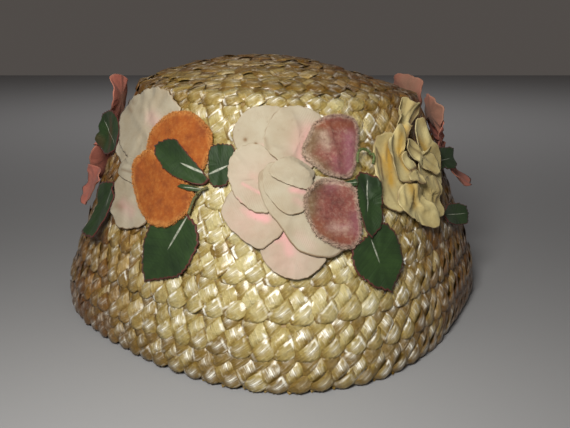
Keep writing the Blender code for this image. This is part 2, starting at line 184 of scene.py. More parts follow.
# Name, kind of cloth, where the piece is tacked on, how it is turned, its size, its lift and its ruffle
COLUMNS = ("name", "kind", "azimuth", "height", "turn", "length", "width", "lift", "ruffle")
PIECES = (
    ("coral_left_petal_up", "coral", -91.5, 0.1075, 46, 0.0345, 0.0245, 0.01, 0.002),
    ("coral_left_petal_front", "coral", -93, 0.0935, 71, 0.0285, 0.026, 0.006, 0.002),
    ("coral_left_petal_down", "coral", -95.5, 0.0855, 101, 0.02, 0.036, 0.008, 0.0015),
    ("coral_left_petal_back", "coral", -73.5, 0.0765, -116, 0.0305, 0.024, 0.007, 0),
    ("coral_left_heart", "coral", -88, 0.09, 30, 0.018, 0.015, 0.005, 0.0015),
    ("coral_right_petal_up", "coral", 118, 0.1115, -31, 0.0345, 0.0385, 0.011, 0.002),
    ("coral_right_petal_front", "coral", 93.5, 0.1135, -70, 0.027, 0.0285, 0.007, 0.002),
    ("coral_right_petal_down", "coral", 82, 0.102, 172, 0.036, 0.03, 0.01, 0.002),
    ("coral_right_petal_back", "coral", 86, 0.102, 88, 0.03, 0.026, 0.004, 0.0015),
    ("coral_right_heart", "coral", 84, 0.099, -20, 0.018, 0.015, 0.005, 0.0015),
    ("leaf_far_right_upper", "leaf", 64, 0.095, 100, 0.027, 0.0165, 0.0075, 0),
    ("leaf_far_right_lower", "leaf", 60, 0.065, 107, 0.031, 0.0165, 0.0085, 0),
    ("left_petal_side", "ivory", -42.5, 0.1025, -76, 0.0375, 0.035, 0.002, 0),
    ("left_petal_top", "ivory", -36, 0.112, -84, 0.0465, 0.041, 0.002, 0),
    ("left_petal_bottom", "ivory", -37, 0.079, -94, 0.038, 0.031, 0.001, 0),
    ("left_petal_small", "ivory", -42, 0.0905, -93, 0.0235, 0.015, 0.001, 0),
    ("leaf_far_left_upper", "leaf", -65.5, 0.0975, -64, 0.0285, 0.0255, 0.011, 0),
    ("leaf_far_left_lower", "leaf", -58.5, 0.087, -188, 0.0445, 0.023, 0.01, 0),
    ("leaf_left_hanging", "leaf", -22.5, 0.0755, -147, 0.0445, 0.033, 0.001, 0),
    ("orange_velvet_upper", "orange", -24.5, 0.0905, -29, 0.039, 0.042, 0.001, 0),
    ("orange_velvet_lower", "orange", -28, 0.103, -154, 0.0385, 0.0445, 0.001, 0),
    ("leaf_left_right", "leaf", -18.5, 0.092, 44, 0.024, 0.0265, 0.001, 0),
    ("leaflet_left", "leaf", -18, 0.0895, -94, 0.015, 0.005, 0.001, 0),
    ("leaf_left_upper", "leaf", -17.5, 0.0905, -61, 0.039, 0.015, 0.001, 0),
    ("centre_petal_bottom", "ivory", 4.5, 0.0805, -178, 0.0295, 0.0305, 0.001, 0),
    ("centre_petal_low_left", "ivory", 2.5, 0.09, -126, 0.032, 0.0315, 0.001, 0),
    ("centre_petal_top_left", "ivory", 2, 0.104, -32, 0.032, 0.0325, 0.001, 0),
    ("centre_petal_left", "ivory", 5.5, 0.0995, -101, 0.0335, 0.035, 0.001, 0),
    ("centre_petal_top", "ivory", 6.5, 0.1, -2, 0.034, 0.0305, 0.001, 0),
    ("centre_petal_low_right", "ivory", 10, 0.098, 181, 0.039, 0.0475, 0.001, 0),
    ("centre_petal_inner_low", "ivory", 8.5, 0.096, -109, 0.022, 0.0275, 0.001, 0),
    ("centre_petal_inner_top", "ivory", 10, 0.0945, -73, 0.0235, 0.013, 0.001, 0),
    ("rose_petal_left", "yellow", 42.5, 0.0935, -84, 0.0285, 0.042, 0.002, 0.002),
    ("rose_petal_top", "yellow", 38.5, 0.1105, 57, 0.0365, 0.026, 0.003, 0.0025),
    ("rose_petal_right", "yellow", 45, 0.101, 76, 0.034, 0.036, 0.003, 0.0025),
    ("rose_petal_low_right", "yellow", 44, 0.09, 100, 0.036, 0.03, 0.002, 0.0025),
    ("rose_petal_bottom", "yellow", 36.5, 0.09, 123, 0.0445, 0.029, 0.003, 0.0025),
    ("rose_inner_left", "yellow", 45.5, 0.0935, -76, 0.0295, 0.0235, 0.006, 0.002),
    ("rose_inner_right", "yellow", 45, 0.096, 51, 0.0185, 0.0255, 0.006, 0.002),
    ("rose_inner_bottom", "yellow", 44, 0.103, 176, 0.0205, 0.0315, 0.005, 0.002),
    ("leaf_right_lower", "leaf", 23, 0.078, 169, 0.039, 0.033, 0.001, 0),
    ("leaf_right_upper", "leaf", 25.5, 0.103, -174, 0.0395, 0.014, 0.001, 0),
    ("leaflet_right", "leaf", 22, 0.094, -86, 0.009, 0.0035, 0.001, 0),
    ("pink_velvet_lower", "pink", 11.5, 0.0965, 164, 0.035, 0.0245, 0.001, 0),
    ("pink_velvet_upper", "pink", 12, 0.097, 23, 0.0335, 0.026, 0.001, 0),
    ("leaf_back_left", "leaf", -124, 0.092, -96, 0.046, 0.026, 0.001, 0),
    ("leaf_back_right", "leaf", 126, 0.092, 98, 0.046, 0.026, 0.001, 0),
    ("back_petal_low_left", "ivory", 178, 0.088, -128, 0.04, 0.034, 0.001, 0),
    ("back_petal_low_right", "ivory", 182, 0.088, 128, 0.04, 0.034, 0.001, 0),
    ("back_petal_top_left", "ivory", 178, 0.096, -46, 0.04, 0.034, 0.001, 0),
    ("back_petal_top_right", "ivory", 182, 0.096, 42, 0.04, 0.034, 0.001, 0),
    ("back_velvet", "orange", 180, 0.082, 4, 0.03, 0.026, 0.001, 0),
)
# Pieces without an outline of their own: how far along they are widest, and how blunt their tip and base are
OVALS = {
    "coral_left_petal_up": (0.67, 1.1, 1.4),
    "coral_left_petal_back": (0.62, 1.1, 1.3),
    "coral_left_heart": (0.55, 1, 1.2),
    "coral_right_petal_front": (0.6, 1, 1.3),
    "coral_right_petal_down": (0.62, 1, 1.3),
    "coral_right_petal_back": (0.62, 1, 1.3),
    "coral_right_heart": (0.55, 1, 1.2),
    "leaf_far_left_upper": (0.53, 1.5, 1.4),
    "leaf_back_left": (0.5, 1.4, 1.4),
    "leaf_back_right": (0.5, 1.4, 1.4),
    "back_petal_low_left": (0.68, 1, 1.4),
    "back_petal_low_right": (0.68, 1, 1.4),
    "back_petal_top_left": (0.68, 1, 1.4),
    "back_petal_top_right": (0.68, 1, 1.4),
    "back_velvet": (0.55, 1, 1.1),
}

# Outlines of the cut pieces, as they are in the photo
CUTS = {
    # piece: its middle, then points on its edge, along and across it in mm
    "coral_left_petal_front": ((16.2, 0), (29.5, 0), (30, 5), (27.5, 7), (21, 8), (12, 7.5), (4, 5.5),
        (4, 0), (10, -10.5), (12.5, -12), (22.5, -11), (27.5, -5.5)),
    "coral_left_petal_down": ((11.4, 0), (20.5, 0), (17.5, 10.5), (12, 16.5), (7, 17.5), (3, 14.5), (2, 10),
        (2.5, 5), (0.5, 0), (4, -13), (11.5, -18), (18.5, -12)),
    "coral_right_petal_up": ((23.5, 0), (32.5, 0), (29.5, 10.5), (25.5, 15), (15.5, 13.5), (9.5, 9), (5, 0),
        (8.5, -8), (15.5, -13.5), (24, -15), (32, -9)),
    "leaf_far_right_upper": ((13.5, 0), (29.5, 3), (27.5, 5), (22, 7.5), (17, 6.5), (12.5, 5), (10, 6),
        (6.5, 6), (3.5, 4), (0, 0), (2.5, -3.5), (5.5, -6), (9, -7.5), (14, -8.5), (25.5, -7), (30.5, -3)),
    "leaf_far_right_lower": ((16.1, 0), (29, 0), (26, 5.5), (24, 7), (12, 7), (2.5, 5), (-0.5, 0),
        (1.5, -2.5), (5, -5.5), (8, -6.5), (20, -7), (28, -4.5)),
    "left_petal_side": ((20.2, 0), (35.5, 0), (36, 4), (33, 11), (29, 15), (20, 17.5), (11.5, 15), (2, 6),
        (1, -4), (5, -11), (11.5, -14.5), (21.5, -15.5), (28.5, -14), (30.5, -11.5), (31.5, -6)),
    "left_petal_top": ((17.7, 0), (46, 0), (43, 8.5), (28, 18), (16, 22), (6, 20.5), (-4.5, 13), (-3, 0),
        (8, -16.5), (16.5, -20.5), (28.5, -19), (37.5, -14.5), (42.5, -10)),
    "left_petal_bottom": ((19.8, 0), (32, 0), (34, 5.5), (27.5, 13.5), (20.5, 15.5), (12, 14), (1, 4.5),
        (-2, -4.5), (2, -13), (20, -17), (27.5, -13.5), (34, -8.5)),
    "left_petal_small": ((7.3, 0), (23.5, 0.5), (21.5, 3.5), (17.5, 6), (11.5, 7.5), (3.5, 6.5), (0, 0),
        (4, -5.5), (20.5, -3)),
    "leaf_far_left_lower": ((21.1, 0.9), (38.5, 1), (37.5, 7), (35.5, 9), (25.5, 8), (20, 8), (18, 9),
        (14.5, 13), (8.5, 15.5), (6.5, 13), (5, 1), (6.5, -2.5), (12.5, -9.5), (14.5, -10.5), (19.5, -9),
        (25.5, -11), (27.5, -10.5), (36, -7.5), (38.5, -5.5)),
    "leaf_left_hanging": ((19.7, -1.5), (43, -1.5), (41.5, 2.5), (37.5, 7), (28.5, 13.5), (19.5, 16),
        (-1, 2), (-1.5, -1.5), (-1, -6), (2, -11.5), (5, -14), (15, -17), (21.5, -17), (25, -16)),
    "orange_velvet_upper": ((19.1, 0), (38.5, 0), (35, 11.5), (29, 17), (17.5, 20.5), (5, 12), (0, 0),
        (3, -9.5), (9, -17), (20.5, -21), (29.5, -18), (35.5, -12)),
    "orange_velvet_lower": ((22.3, 1), (38.5, 1), (36, 11), (32, 17.5), (24.5, 23), (18.5, 23.5), (11, 20),
        (8.5, 15), (9, 1), (9, -13.5), (11, -18.5), (14.5, -20.5), (21.5, -21), (32, -16), (37, -9)),
    "leaf_left_right": ((11.6, -2.8), (21.5, -3), (15, 3), (8, 7.5), (6, 7), (1.5, 3), (1.5, 1), (3, -3),
        (10.5, -11.5), (13.5, -13), (17, -12), (22.5, -6.5)),
    "leaflet_left": ((9.3, 0.1), (16.5, 0), (14, 1.5), (10, 1.5), (4, 0.5), (2.5, 0), (3.5, -1), (5, -1.5),
        (10, -1.5), (14.5, -0.5)),
    "leaf_left_upper": ((21.5, -0.4), (38.5, -0.5), (33, 6), (30, 8), (26, 7.5), (6.5, 4.5), (2, 3),
        (2.5, -0.5), (5.5, -3), (17.5, -7.5), (26.5, -8.5), (34.5, -6.5), (39, -3.5)),
    "centre_petal_bottom": ((18, 0), (29.5, 0), (28, 6), (24.5, 11), (18, 15), (10.5, 13), (5, 9.5),
        (0.5, 0), (3, -6.5), (10.5, -13.5), (20, -14.5), (24.5, -11.5), (28.5, -6)),
    "centre_petal_low_left": ((21.1, 0), (31, 0), (31, 7), (28, 12), (19, 15), (13, 14), (3.5, 7), (0.5, 0),
        (6, -9.5), (13, -14), (23, -15), (27.5, -11)),
    "centre_petal_top_left": ((18.6, 0), (30.5, 0), (25.5, 12), (19.5, 15), (10.5, 14), (3.5, 8), (0.5, 0),
        (5.5, -10), (10.5, -14), (18.5, -15.5), (25.5, -12)),
    "centre_petal_left": ((19.4, 0), (32, 5.5), (27, 13.5), (19.5, 17), (11, 15), (3.5, 8.5), (0.5, 0),
        (5.5, -10.5), (11, -14.5), (20, -16.5), (26.5, -12.5), (31, -6.5)),
    "centre_petal_top": ((15.6, 0), (33, 0), (30.5, 8), (27, 12.5), (16, 15.5), (8, 13), (0, 0), (8, -13),
        (15.5, -16), (23.5, -13.5), (30.5, -8.5)),
    "centre_petal_low_right": ((10.5, 0), (35.5, 9), (25, 16.5), (14.5, 23.5), (3, 26), (-2.5, 23),
        (-3.5, 16.5), (-0.5, 0), (2.5, -14), (9.5, -23), (23, -21.5), (33.5, -14.5), (39, -5)),
    "centre_petal_inner_low": ((11.7, 0), (21, 0), (20.5, 5), (18, 10.5), (14, 13), (5.5, 11), (0, 0),
        (5.5, -11), (12, -13), (17.5, -10)),
    "centre_petal_inner_top": ((11, 2.1), (21, 2), (15, 9), (7.5, 8.5), (2, 5.5), (1.5, 2), (2.5, -3),
        (7, -4.5), (19.5, -3)),
    "rose_petal_left": ((15, 2.7), (29, 2.5), (24, 18.5), (17, 23), (9, 23), (4.5, 21.5), (1, 15.5),
        (1.5, 2.5), (6, -12.5), (13.5, -19.5), (25.5, -15)),
    "rose_petal_top": ((18.2, -2.8), (34.5, -0.5), (33.5, 2), (30.5, 3.5), (15, 2.5), (8.5, 4), (3.5, 4),
        (0.5, 1), (2.5, -3), (7, -6), (14.5, -9), (24, -13), (28.5, -11), (29.5, -5)),
    "rose_petal_right": ((18.7, 7.4), (32.5, 7.5), (33.5, 14), (27.5, 23), (16.5, 27.5), (9, 24.5),
        (5.5, 18.5), (4.5, 7.5), (11, -6.5), (21, -16.5), (24.5, -16.5), (27.5, -14), (28, 0)),
    "rose_petal_low_right": ((14.7, 9.3), (24.5, 9.5), (25, 11), (29.5, 17), (29, 20.5), (22.5, 22.5),
        (9.5, 18), (-1, 9.5), (-1.5, 2.5), (8.5, -1.5), (21, -2), (26.5, 2)),
    "rose_petal_bottom": ((16.6, 6.4), (37.5, 9.5), (33.5, 13), (21.5, 15), (11.5, 15), (1.5, 12.5),
        (-1.5, 6.5), (0.5, 0.5), (5.5, -3), (15.5, -4.5), (21, -1.5), (34, 4)),
    "rose_inner_left": ((15.4, 6.9), (26, 7), (24.5, 14), (21.5, 17.5), (19.5, 19.5), (16, 24.5),
        (13, 25.5), (11, 24), (10.5, 20.5), (11.5, 14), (12, 11), (9.5, 7), (5, 2.5), (3.5, -2), (4, -4.5),
        (7.5, -6.5), (16, -7), (21.5, -3.5)),
    "rose_inner_right": ((10.3, 2.7), (17, 2.5), (16.5, 6), (17, 14.5), (13, 20.5), (9.5, 17.5), (6.5, 9),
        (5, 2.5), (3.5, -9.5), (6, -15.5), (8.5, -14.5), (10.5, -11.5), (11.5, -8.5), (12, -5),
        (11.5, -1.5), (11, 1), (12.5, 0), (12.5, 1.5), (15.5, 1.5)),
    "rose_inner_bottom": ((8.5, 3), (17, 3), (14.5, 5.5), (13.5, 9), (12.5, 10), (10, 9), (8.5, 7),
        (6, 7.5), (-0.5, 9), (-2.5, 7.5), (-2.5, 5.5), (4, -0.5), (8, -1), (10.5, -3.5), (13, -4.5),
        (17.5, -2.5)),
    "leaf_right_lower": ((21.3, 0.9), (39.5, 1), (33, 10), (25, 15.5), (20.5, 17), (18, 17), (13, 15),
        (11, 12.5), (6, -3.5), (5.5, -8.5), (9, -11), (13.5, -12.5), (21.5, -13.5), (26.5, -13),
        (28.5, -12), (33.5, -7.5)),
    "leaf_right_upper": ((21, 1), (38.5, 1), (36.5, 3.5), (24.5, 7), (17, 8), (6.5, 6.5), (4.5, 4),
        (4.5, 1), (8.5, -2.5), (11, -4), (25.5, -6.5), (29.5, -6), (34, -4)),
    "leaflet_right": ((4.3, -0.2), (8.5, 0), (8, 0.5), (2, 2), (1, 0), (2, -2), (5.5, -2)),
    "pink_velvet_lower": ((17.3, -0.1), (33.5, 3.5), (24, 11.5), (10.5, 12), (3.5, 8), (0.5, 0),
        (3.5, -7.5), (10, -13), (16, -12), (28.5, -9.5), (33.5, -6.5), (35.5, -2)),
    "pink_velvet_upper": ((18.1, 0.4), (35, 4), (32, 9), (24.5, 11.5), (10.5, 13.5), (4.5, 10.5),
        (3.5, 0.5), (6.5, -10.5), (10, -13), (17.5, -12.5), (25, -11.5), (32, -5.5)),
}

# Tints, stains, veins and folds of single pieces
MARKS = {
    # piece: what, then in mm the along and across of its one end and its other end, and its reach; strength,
    # which is the height in mm of a fold
    "coral_left_petal_up": (("tint", 8, 0, 20, 0, 6, 0.7),),
    "coral_left_petal_down": (("stain", 14, 0, 30, 0, 10, 0.35),),
    # The stains on the right coral flower are painted shade
    "coral_right_petal_up": (("stain", 6, 0, 26, 0, 14, 0.55), ("tint", 4, 0, 26, 0, 13, 0.9)),
    "coral_right_petal_front": (("stain", 6, 0, 26, 0, 14, 0.55), ("tint", 4, 0, 26, 0, 13, 0.8)),
    "coral_right_petal_down": (("stain", 6, 0, 26, 0, 14, 0.45),),
    "left_petal_side": (("tint", 17.8, 5.2, 5.4, 4.4, 5, 0.25), ("fold", 24.1, -9.6, 12.3, 1.5, 2.5, 0.9),
        ("fold", 39, -4.1, 34.5, 5.4, 2, 0.7)),
    # The stains laid along the folds of the left petals are painted shade in the creases
    "left_petal_top": (("stain", 39.5, 5, 34.4, 4, 1.6, 0.5), ("stain", 38.5, 9.4, 34.6, 8, 1, 0.4),
        ("tint", 15.2, 5.3, 8.9, 3.5, 4, 0.35), ("fold", 36.3, 4.7, 12.7, -3.5, 3, 1),
        ("fold", 22.2, 14.9, 8.7, 3, 2.5, 0.8)),
    "left_petal_bottom": (("stain", 28.1, -5.9, 23.7, -6.4, 2.2, 0.4),
        ("tint", 22.3, -4.6, 13.8, -7.2, 4, 0.3), ("fold", 30.1, -6.2, 15.7, -1, 2, 0.7)),
    "left_petal_small": (("stain", 17.9, 0.3, 8.8, -0.1, 0.7, 0.5),
        ("fold", 18.3, 1.4, 6.7, 1.8, 1.2, 0.6)),
    "leaf_far_left_upper": (("stain", 18.7, 6, 7.2, -6.2, 2, 0.5),
        ("stain", 16.7, -7, 15.4, -11.9, 2, 0.4)),
    "leaf_far_left_lower": (("vein", 6.8, -0.6, 20.7, -4, 0.8, 0.6),),
    "leaf_left_hanging": (("vein", -1.2, 1.1, 20.8, -1.7, 1.5, 1),),
    # The pale marks on the orange velvet are painted sheen
    "orange_velvet_upper": (("pale", 38.3, -7.5, 36.9, 6.9, 1.5, 0.4),
        ("pale", 20.5, 22, 11, 18.4, 1.2, 0.4)),
    "orange_velvet_lower": (("pale", 26.9, 21.5, 37, 8.5, 1.2, 0.5),
        ("pale", 37.9, -5, 30.6, -16.6, 1.3, 0.5), ("pale", 16.9, 23.1, 10.3, 19, 1.2, 0.5)),
    "leaf_left_right": (("vein", 3, -3.3, 14.8, 0.2, 1.4, 1),),
    "leaf_left_upper": (("vein", 3.5, 4.8, 20.4, 0, 1.5, 1),),
    "centre_petal_bottom": (("tint", 6, 3, 20, 3, 13, 0.22), ("tint", 5, 7.7, 9.5, 4.5, 4.4, 0.7),
        ("tint", 11.4, 3.5, 16.9, 1.7, 3.2, 0.65), ("tint", 8, 9.9, 11.6, 7.1, 2.5, 0.6),
        ("fold", 12.2, 14.4, 21.4, -2.8, 4, 0.7)),
    "centre_petal_low_left": (("tint", 12, 0, 24, 0, 13, 0.18), ("tint", 18.9, 1.9, 14.3, -4.4, 2.6, 0.75),
        ("tint", 20.5, 4.5, 19.7, 0.7, 2.5, 0.4), ("fold", 29.5, 7, 24.4, -7.5, 3, 0.6)),
    "centre_petal_top_left": (("stain", 18.5, -9.7, 18.4, -9.6, 0.9, 1.3),
        ("stain", 14.3, -6.5, 14.2, -6.4, 0.9, 1.2), ("tint", 11.4, -4.7, 9.6, -3.6, 2, 0.35),
        ("fold", 24, -9.5, 18.4, 3, 4, 0.7)),
    "centre_petal_left": (("tint", 25.8, -1.6, 18, -7.4, 0.9, 0.55), ("tint", 12, 0, 22, 0, 12, 0.12),
        ("tint", 30.1, -8.4, 28.7, -10.9, 1.2, 0.5), ("tint", 20.7, 2.1, 18.2, 0.4, 3, 0.25),
        ("fold", 29.7, -1.7, 23.2, -9.6, 3, 0.5)),
    "centre_petal_top": (("tint", 18, 6, 10, 3, 6.5, 0.55), ("stain", 15.9, -15.5, 11, -14.4, 1, 0.5),
        ("fold", 30.8, -7.4, 16, -7, 4, 0.35)),
    "centre_petal_low_right": (("tint", 28.5, 8.1, 33.3, 3.8, 3, 0.15),
        ("stain", -2.4, 24.2, 2.5, 24.4, 1.2, 0.45), ("fold", 23.8, 7.9, 32.7, -5.4, 3, 0.7)),
    "centre_petal_inner_low": (("tint", 9.3, -1.7, 4.6, -4.3, 1.6, 0.6),
        ("tint", 9.4, -6.7, 7.6, -9.3, 2, 0.25)),
    # The rose's stains run beside its folds and are painted shade in the creases; its golden tints in the
    # folds' depths are partly its own yellow, partly painted shade
    "rose_petal_left": (("tint", 14.1, 14.3, 16.9, -3.2, 3.2, 1), ("tint", 18.9, 8.7, 18.3, 0, 3.5, 0.7),
        ("stain", 23.9, 14.5, 21.6, 9.7, 0.8, 0.9), ("stain", 21.6, 9.7, 23.8, -2.1, 0.8, 0.9),
        ("fold", 25.4, 13.9, 27.8, 0, 1.5, 0.9), ("fold", 27.7, -2.1, 26.9, -14.7, 1.5, 0.7),
        ("fold", 15.2, 18.7, 18.6, 9.8, 1.5, 0.6), ("stain", 19.9, -5.3, 16.5, -15.6, 1, 0.4)),
    "rose_petal_top": (("tint", 2.2, 0.5, 14.4, 0.1, 2.2, 0.6), ("stain", 37.6, 0.2, 8, 3.8, 1.6, 0.9),
        ("stain", 29.2, -5.9, 21.8, 0.2, 0.8, 0.5), ("fold", 23.3, -13.5, 4, -3.8, 1.5, 1.2),
        ("fold", 32.8, -2.9, 9.2, 1.8, 1.5, 1.3)),
    "rose_petal_right": (("tint", 17.1, -5.4, 21.3, 4.3, 3, 0.95),
        ("stain", 28.9, -18.9, 25.8, -10.9, 1.6, 0.5), ("fold", 27.8, -19.3, 25.3, -0.5, 1.8, 1.2),
        ("fold", 9, -13.8, -0.5, -11, 1.5, 0.9)),
    "rose_petal_low_right": (("tint", 2.4, 3.3, 4.3, 11.3, 2.5, 0.45),
        ("stain", 22.3, 1.5, 23.6, 12.3, 2.4, 0.6), ("fold", 10.3, 3.5, 19.9, 19.1, 1.5, 1.1),
        ("fold", 22.3, 1.5, 21, 12.1, 1.5, 0.9)),
    "rose_petal_bottom": (("tint", 5.7, -1.4, 14.3, 5.8, 3, 0.8), ("stain", -1.8, 2.4, -0.8, 9.6, 0.8, 0.5),
        ("fold", 0.5, 2, 3.9, 9.9, 1.5, 0.9), ("fold", 10.1, -2.1, 22, 6.5, 1.5, 1.1)),
    "rose_inner_left": (("tint", 14.6, 19.4, 15.1, 10.2, 2.4, 0.85), ("tint", 15.1, 10.2, 9.5, 2, 2.2, 0.7),
        ("stain", 15.8, -7.5, 4.8, -5.5, 1, 0.9), ("fold", 22, 17.7, 24.3, 3.9, 1.8, 1.3),
        ("fold", 24.3, 3.9, 19.8, -7.2, 1.8, 1.3), ("fold", 10.4, 12.1, 6.2, 2.4, 1.6, 0.9)),
    "rose_inner_right": (("stain", 6.2, -16.7, 10.9, 4.1, 0.7, 0.55),
        ("stain", 8.5, 13.5, 12.8, 23, 1, 0.5), ("fold", 5.3, -16, 10.4, 3.4, 1.6, 1.2),
        ("fold", 10.4, 3.4, 13.6, 20.3, 1.6, 1.2)),
    "rose_inner_bottom": (("stain", 8, 7.4, 7.7, -1.3, 1, 0.9), ("stain", 13.3, 10.2, 18, -1.1, 1, 0.8),
        ("stain", 5.2, -1.1, 11.6, -4.4, 0.8, 0.6), ("fold", 9.1, 5.4, 9.4, -3.1, 1.6, 1.2)),
    "leaf_right_lower": (("vein", 10.6, 2.4, 24, 2.3, 1.1, 0.7),),
    "leaf_right_upper": (("vein", 8.4, 0.1, 25.7, 2.1, 1, 0.6),),
    # The pale marks on the pink velvets are painted sheen
    "pink_velvet_lower": (("tint", 17.4, 12.9, 6, 7.6, 3.6, 1), ("tint", 2, 4.1, 1.3, -0.2, 3, 0.9),
        ("tint", 22.3, 9.9, 26.2, 7.5, 3, 0.6), ("stain", 4.2, -2.6, 4, -5.3, 3, 0.5),
        ("stain", 23.6, -9.2, 31.9, -6, 4, 0.6), ("stain", 23.1, 6.3, 25.9, -5.1, 1.5, 0.55),
        ("pale", 23.5, 3.5, 26.2, -2.6, 2.6, 0.5), ("pale", 1.3, -0.2, 6.3, -10.4, 1.1, 0.6),
        ("rust", 19.4, 9.8, 26.8, 5.8, 3.5, 0.8), ("rust", 29.4, 4.3, 32.5, -3.4, 3, 0.8)),
    "pink_velvet_upper": (("tint", 9.5, -11.2, 21.9, -10.2, 4.5, 1),
        ("tint", 6.9, -7.4, 3.7, 0.6, 3.5, 0.9), ("tint", 19.5, -5.4, 19, -4.2, 2, 0.5),
        ("stain", 24.3, 6.6, 9.8, 11.5, 4, 1), ("stain", 11.2, 3.5, 6.7, 5.9, 3, 0.45),
        ("pale", 20.4, -6.2, 15.5, -3, 2.6, 0.65), ("pale", 8.2, -11.8, 3.2, -3.2, 1.3, 0.7),
        ("pale", -0.2, -1.1, 3.7, 12.2, 1.2, 0.6), ("rust", 23.8, -10.8, 31.4, 5, 2.6, 0.9),
        ("fold", 15.6, 1, 8.8, 4.2, 2, 0.9), ("fold", 11, -10.2, 15.9, 0.4, 1.2, 0.5)),
    "back_petal_low_left": (("tint", 6, 0, 18, 0, 6, 0.8),),
    "back_petal_low_right": (("tint", 6, 0, 18, 0, 6, 0.8),),
    "back_petal_top_left": (("tint", 8, 0, 16, 0, 4, 0.4),),
}

# How each kind of cloth is cut and set
CLOTHS = {
    # kind: thickness, cupped, domed, folded, creased, teeth, tooth depth, spokes, rings
    "ivory": (0.0007, 0.0006, 0.0000, 0.0000, 0.00022, 0, 0.0, 120, 18),
    "yellow": (0.0006, 0.0010, 0.0000, 0.0000, 0.00025, 0, 0.0, 120, 18),
    "coral": (0.0006, 0.0010, 0.0000, 0.0000, 0.00045, 0, 0.0, 96, 12),
    "pink": (0.0010, 0.0000, 0.0014, 0.0000, 0.00012, 0, 0.0, 120, 18),
    "orange": (0.0010, 0.0000, 0.0014, 0.0000, 0.00015, 0, 0.0, 120, 18),
    "leaf": (0.0006, 0.0000, 0.0000, 0.0014, 0.00022, 30, 0.050, 180, 12),
}
# How the outlines are drawn out into rings, ruffled, creased and made uneven
FIRST_CUT_SEED = 100
EDGE_STEPS = 16
RING_POWER = 0.85
DOME_POWER = 2.5
FOLD_POWER = 1.2
RUFFLES = 3
RUFFLE_TURN = 0.7
CREASES = (3, 5, 7, 11)
TRACED_FOLDS = (9, 14, 23, 37)
TRACED_UNEVEN = 0.007
OVAL_FOLDS = (2, 3, 5, 8)
OVAL_UNEVEN = 0.035
# Where a leaf's vein runs if it has no mark, as shares of its length, and how wide it is
VEIN_ENDS = (0.10, 0.88)
VEIN_WIDTH = 0.0005
# How soiled and shaded an edge is, and how much darker where it hangs down, where it is painted shade under
# the edge
SOIL_AND_SHADE = 0.35
DOWNWARD_SOIL_AND_SHADE = 0.55
SOIL_AND_SHADE_LUMP = 0.22
SOIL_AND_SHADE_FOLDS = (2, 3, 5, 8, 13)

# The colours of each kind of cloth, its slot, the fields that it keeps and its pile
COTTONS = {
    # kind: body, shade, tint, stain, pale rim
    "ivory": ((0.362, 0.322, 0.238), (0.312, 0.258, 0.176), (0.600, 0.285, 0.290),
              (0.165, 0.095, 0.040), (0.52, 0.43, 0.30)),
    "yellow": ((0.535, 0.460, 0.222), (0.385, 0.295, 0.112), (0.52, 0.315, 0.045),
               (0.120, 0.060, 0.016), (0.58, 0.49, 0.30)),
    "coral": ((0.475, 0.158, 0.112), (0.330, 0.090, 0.062), (0.46, 0.27, 0.19),
              (0.130, 0.045, 0.022), (0.46, 0.24, 0.16)),
}
VELVETS = {
    # kind: deep, middle and light, then the tints, stains and rust on it, then its pile
    "pink": ((0.070, 0.016, 0.014), (0.150, 0.040, 0.031), (0.220, 0.070, 0.052), (0.140, 0.088, 0.042),
             (0.260, 0.092, 0.115), (0.175, 0.046, 0.018), (0.480, 0.370, 0.280)),
    "orange": ((0.165, 0.033, 0.003), (0.258, 0.061, 0.004), (0.325, 0.092, 0.008), (0.260, 0.105, 0.026),
               (0.340, 0.120, 0.018), (0.240, 0.052, 0.006), (0.500, 0.225, 0.055)),
}
SLOTS = {kind: kind + ("_velvet" if kind in VELVETS else "_cloth") for kind in CLOTHS}
KEPT_FIELDS = {
    **dict.fromkeys(COTTONS, ("share", "soil_and_shade", "tint", "stain")),
    **dict.fromkeys(VELVETS, ("share", "tint", "stain", "pale", "rust")),
    "leaf": ("share", "stain", "vein_along", "vein_away"),
}
PILES = {
    # kind: blades on a square millimetre, their length and their width
    "pink": (3.2, 0.0014, 0.00020),
    "orange": (2.4, 0.0009, 0.00020),
}
# From this share of a piece outwards its pile is denser and longer
EDGE_START = 0.93
EDGE_PILE = 2.2
PLAIN_PILE = 0.12
PLAIN_LENGTH = 0.5
SQUARE_MILLIMETRES = 1.0e6
BLADE_RANGE = (0.45, 1.15)
BLADE_LEAN = 0.7
FULL_TURN = 6.28

# Colours of the straw, the wall behind it, the leaves and the paper
STRAW_PALE = (0.490, 0.420, 0.195)
STRAW_DEEP = (0.315, 0.232, 0.062)
STRAW_BROWN = (0.180, 0.108, 0.016)
STRAW_BROWN_SHADE = (0.66, 0.38, 0.13)
# The colour of the painted highlights on the straw
STRAW_LIT = (1.00, 0.99, 0.90)
# The wall's colours, darker than the straw's: painted shade in the gaps between the floats
WALL_DEEP = (0.15, 0.090, 0.020)
WALL_PALE = (0.28, 0.180, 0.046)
LEAF_DEEP = (0.0070, 0.0205, 0.0038)
LEAF_LIGHT = (0.0210, 0.0510, 0.0095)
LEAF_VEIN = (0.42, 0.44, 0.36)
LEAF_RIB = (0.004, 0.013, 0.005)
LEAF_STAIN = (0.075, 0.030, 0.014)
LEAF_EDGE = (0.085, 0.014, 0.012)
PAPER_GREEN = ((0.050, 0.075, 0.016), (0.115, 0.150, 0.045))
PAPER_BROWN = ((0.045, 0.040, 0.012), (0.110, 0.095, 0.030))

# The wires, wound in paper strip
STEM_STEPS = 60
STEM_SIDES = 10
WINDING = 0.12
WINDING_TURN = 1.3
STEMS = (
    # name, thickness, how brown it is, then azimuth and height of the points that it passes
    ("stem_left", 0.0008, 0.8, (-17.8, 0.0904), (-19.0, 0.0892), (-20.4, 0.0866), (-21.2, 0.0838),
     (-21.6, 0.0810), (-22.0, 0.0774)),
    ("stem_right_curl", 0.0008, 0.0, (22.0, 0.1030), (22.2, 0.1054), (22.8, 0.1078), (24.2, 0.1092),
     (25.8, 0.1088), (26.8, 0.1072), (27.0, 0.1046), (26.2, 0.1016)),
)

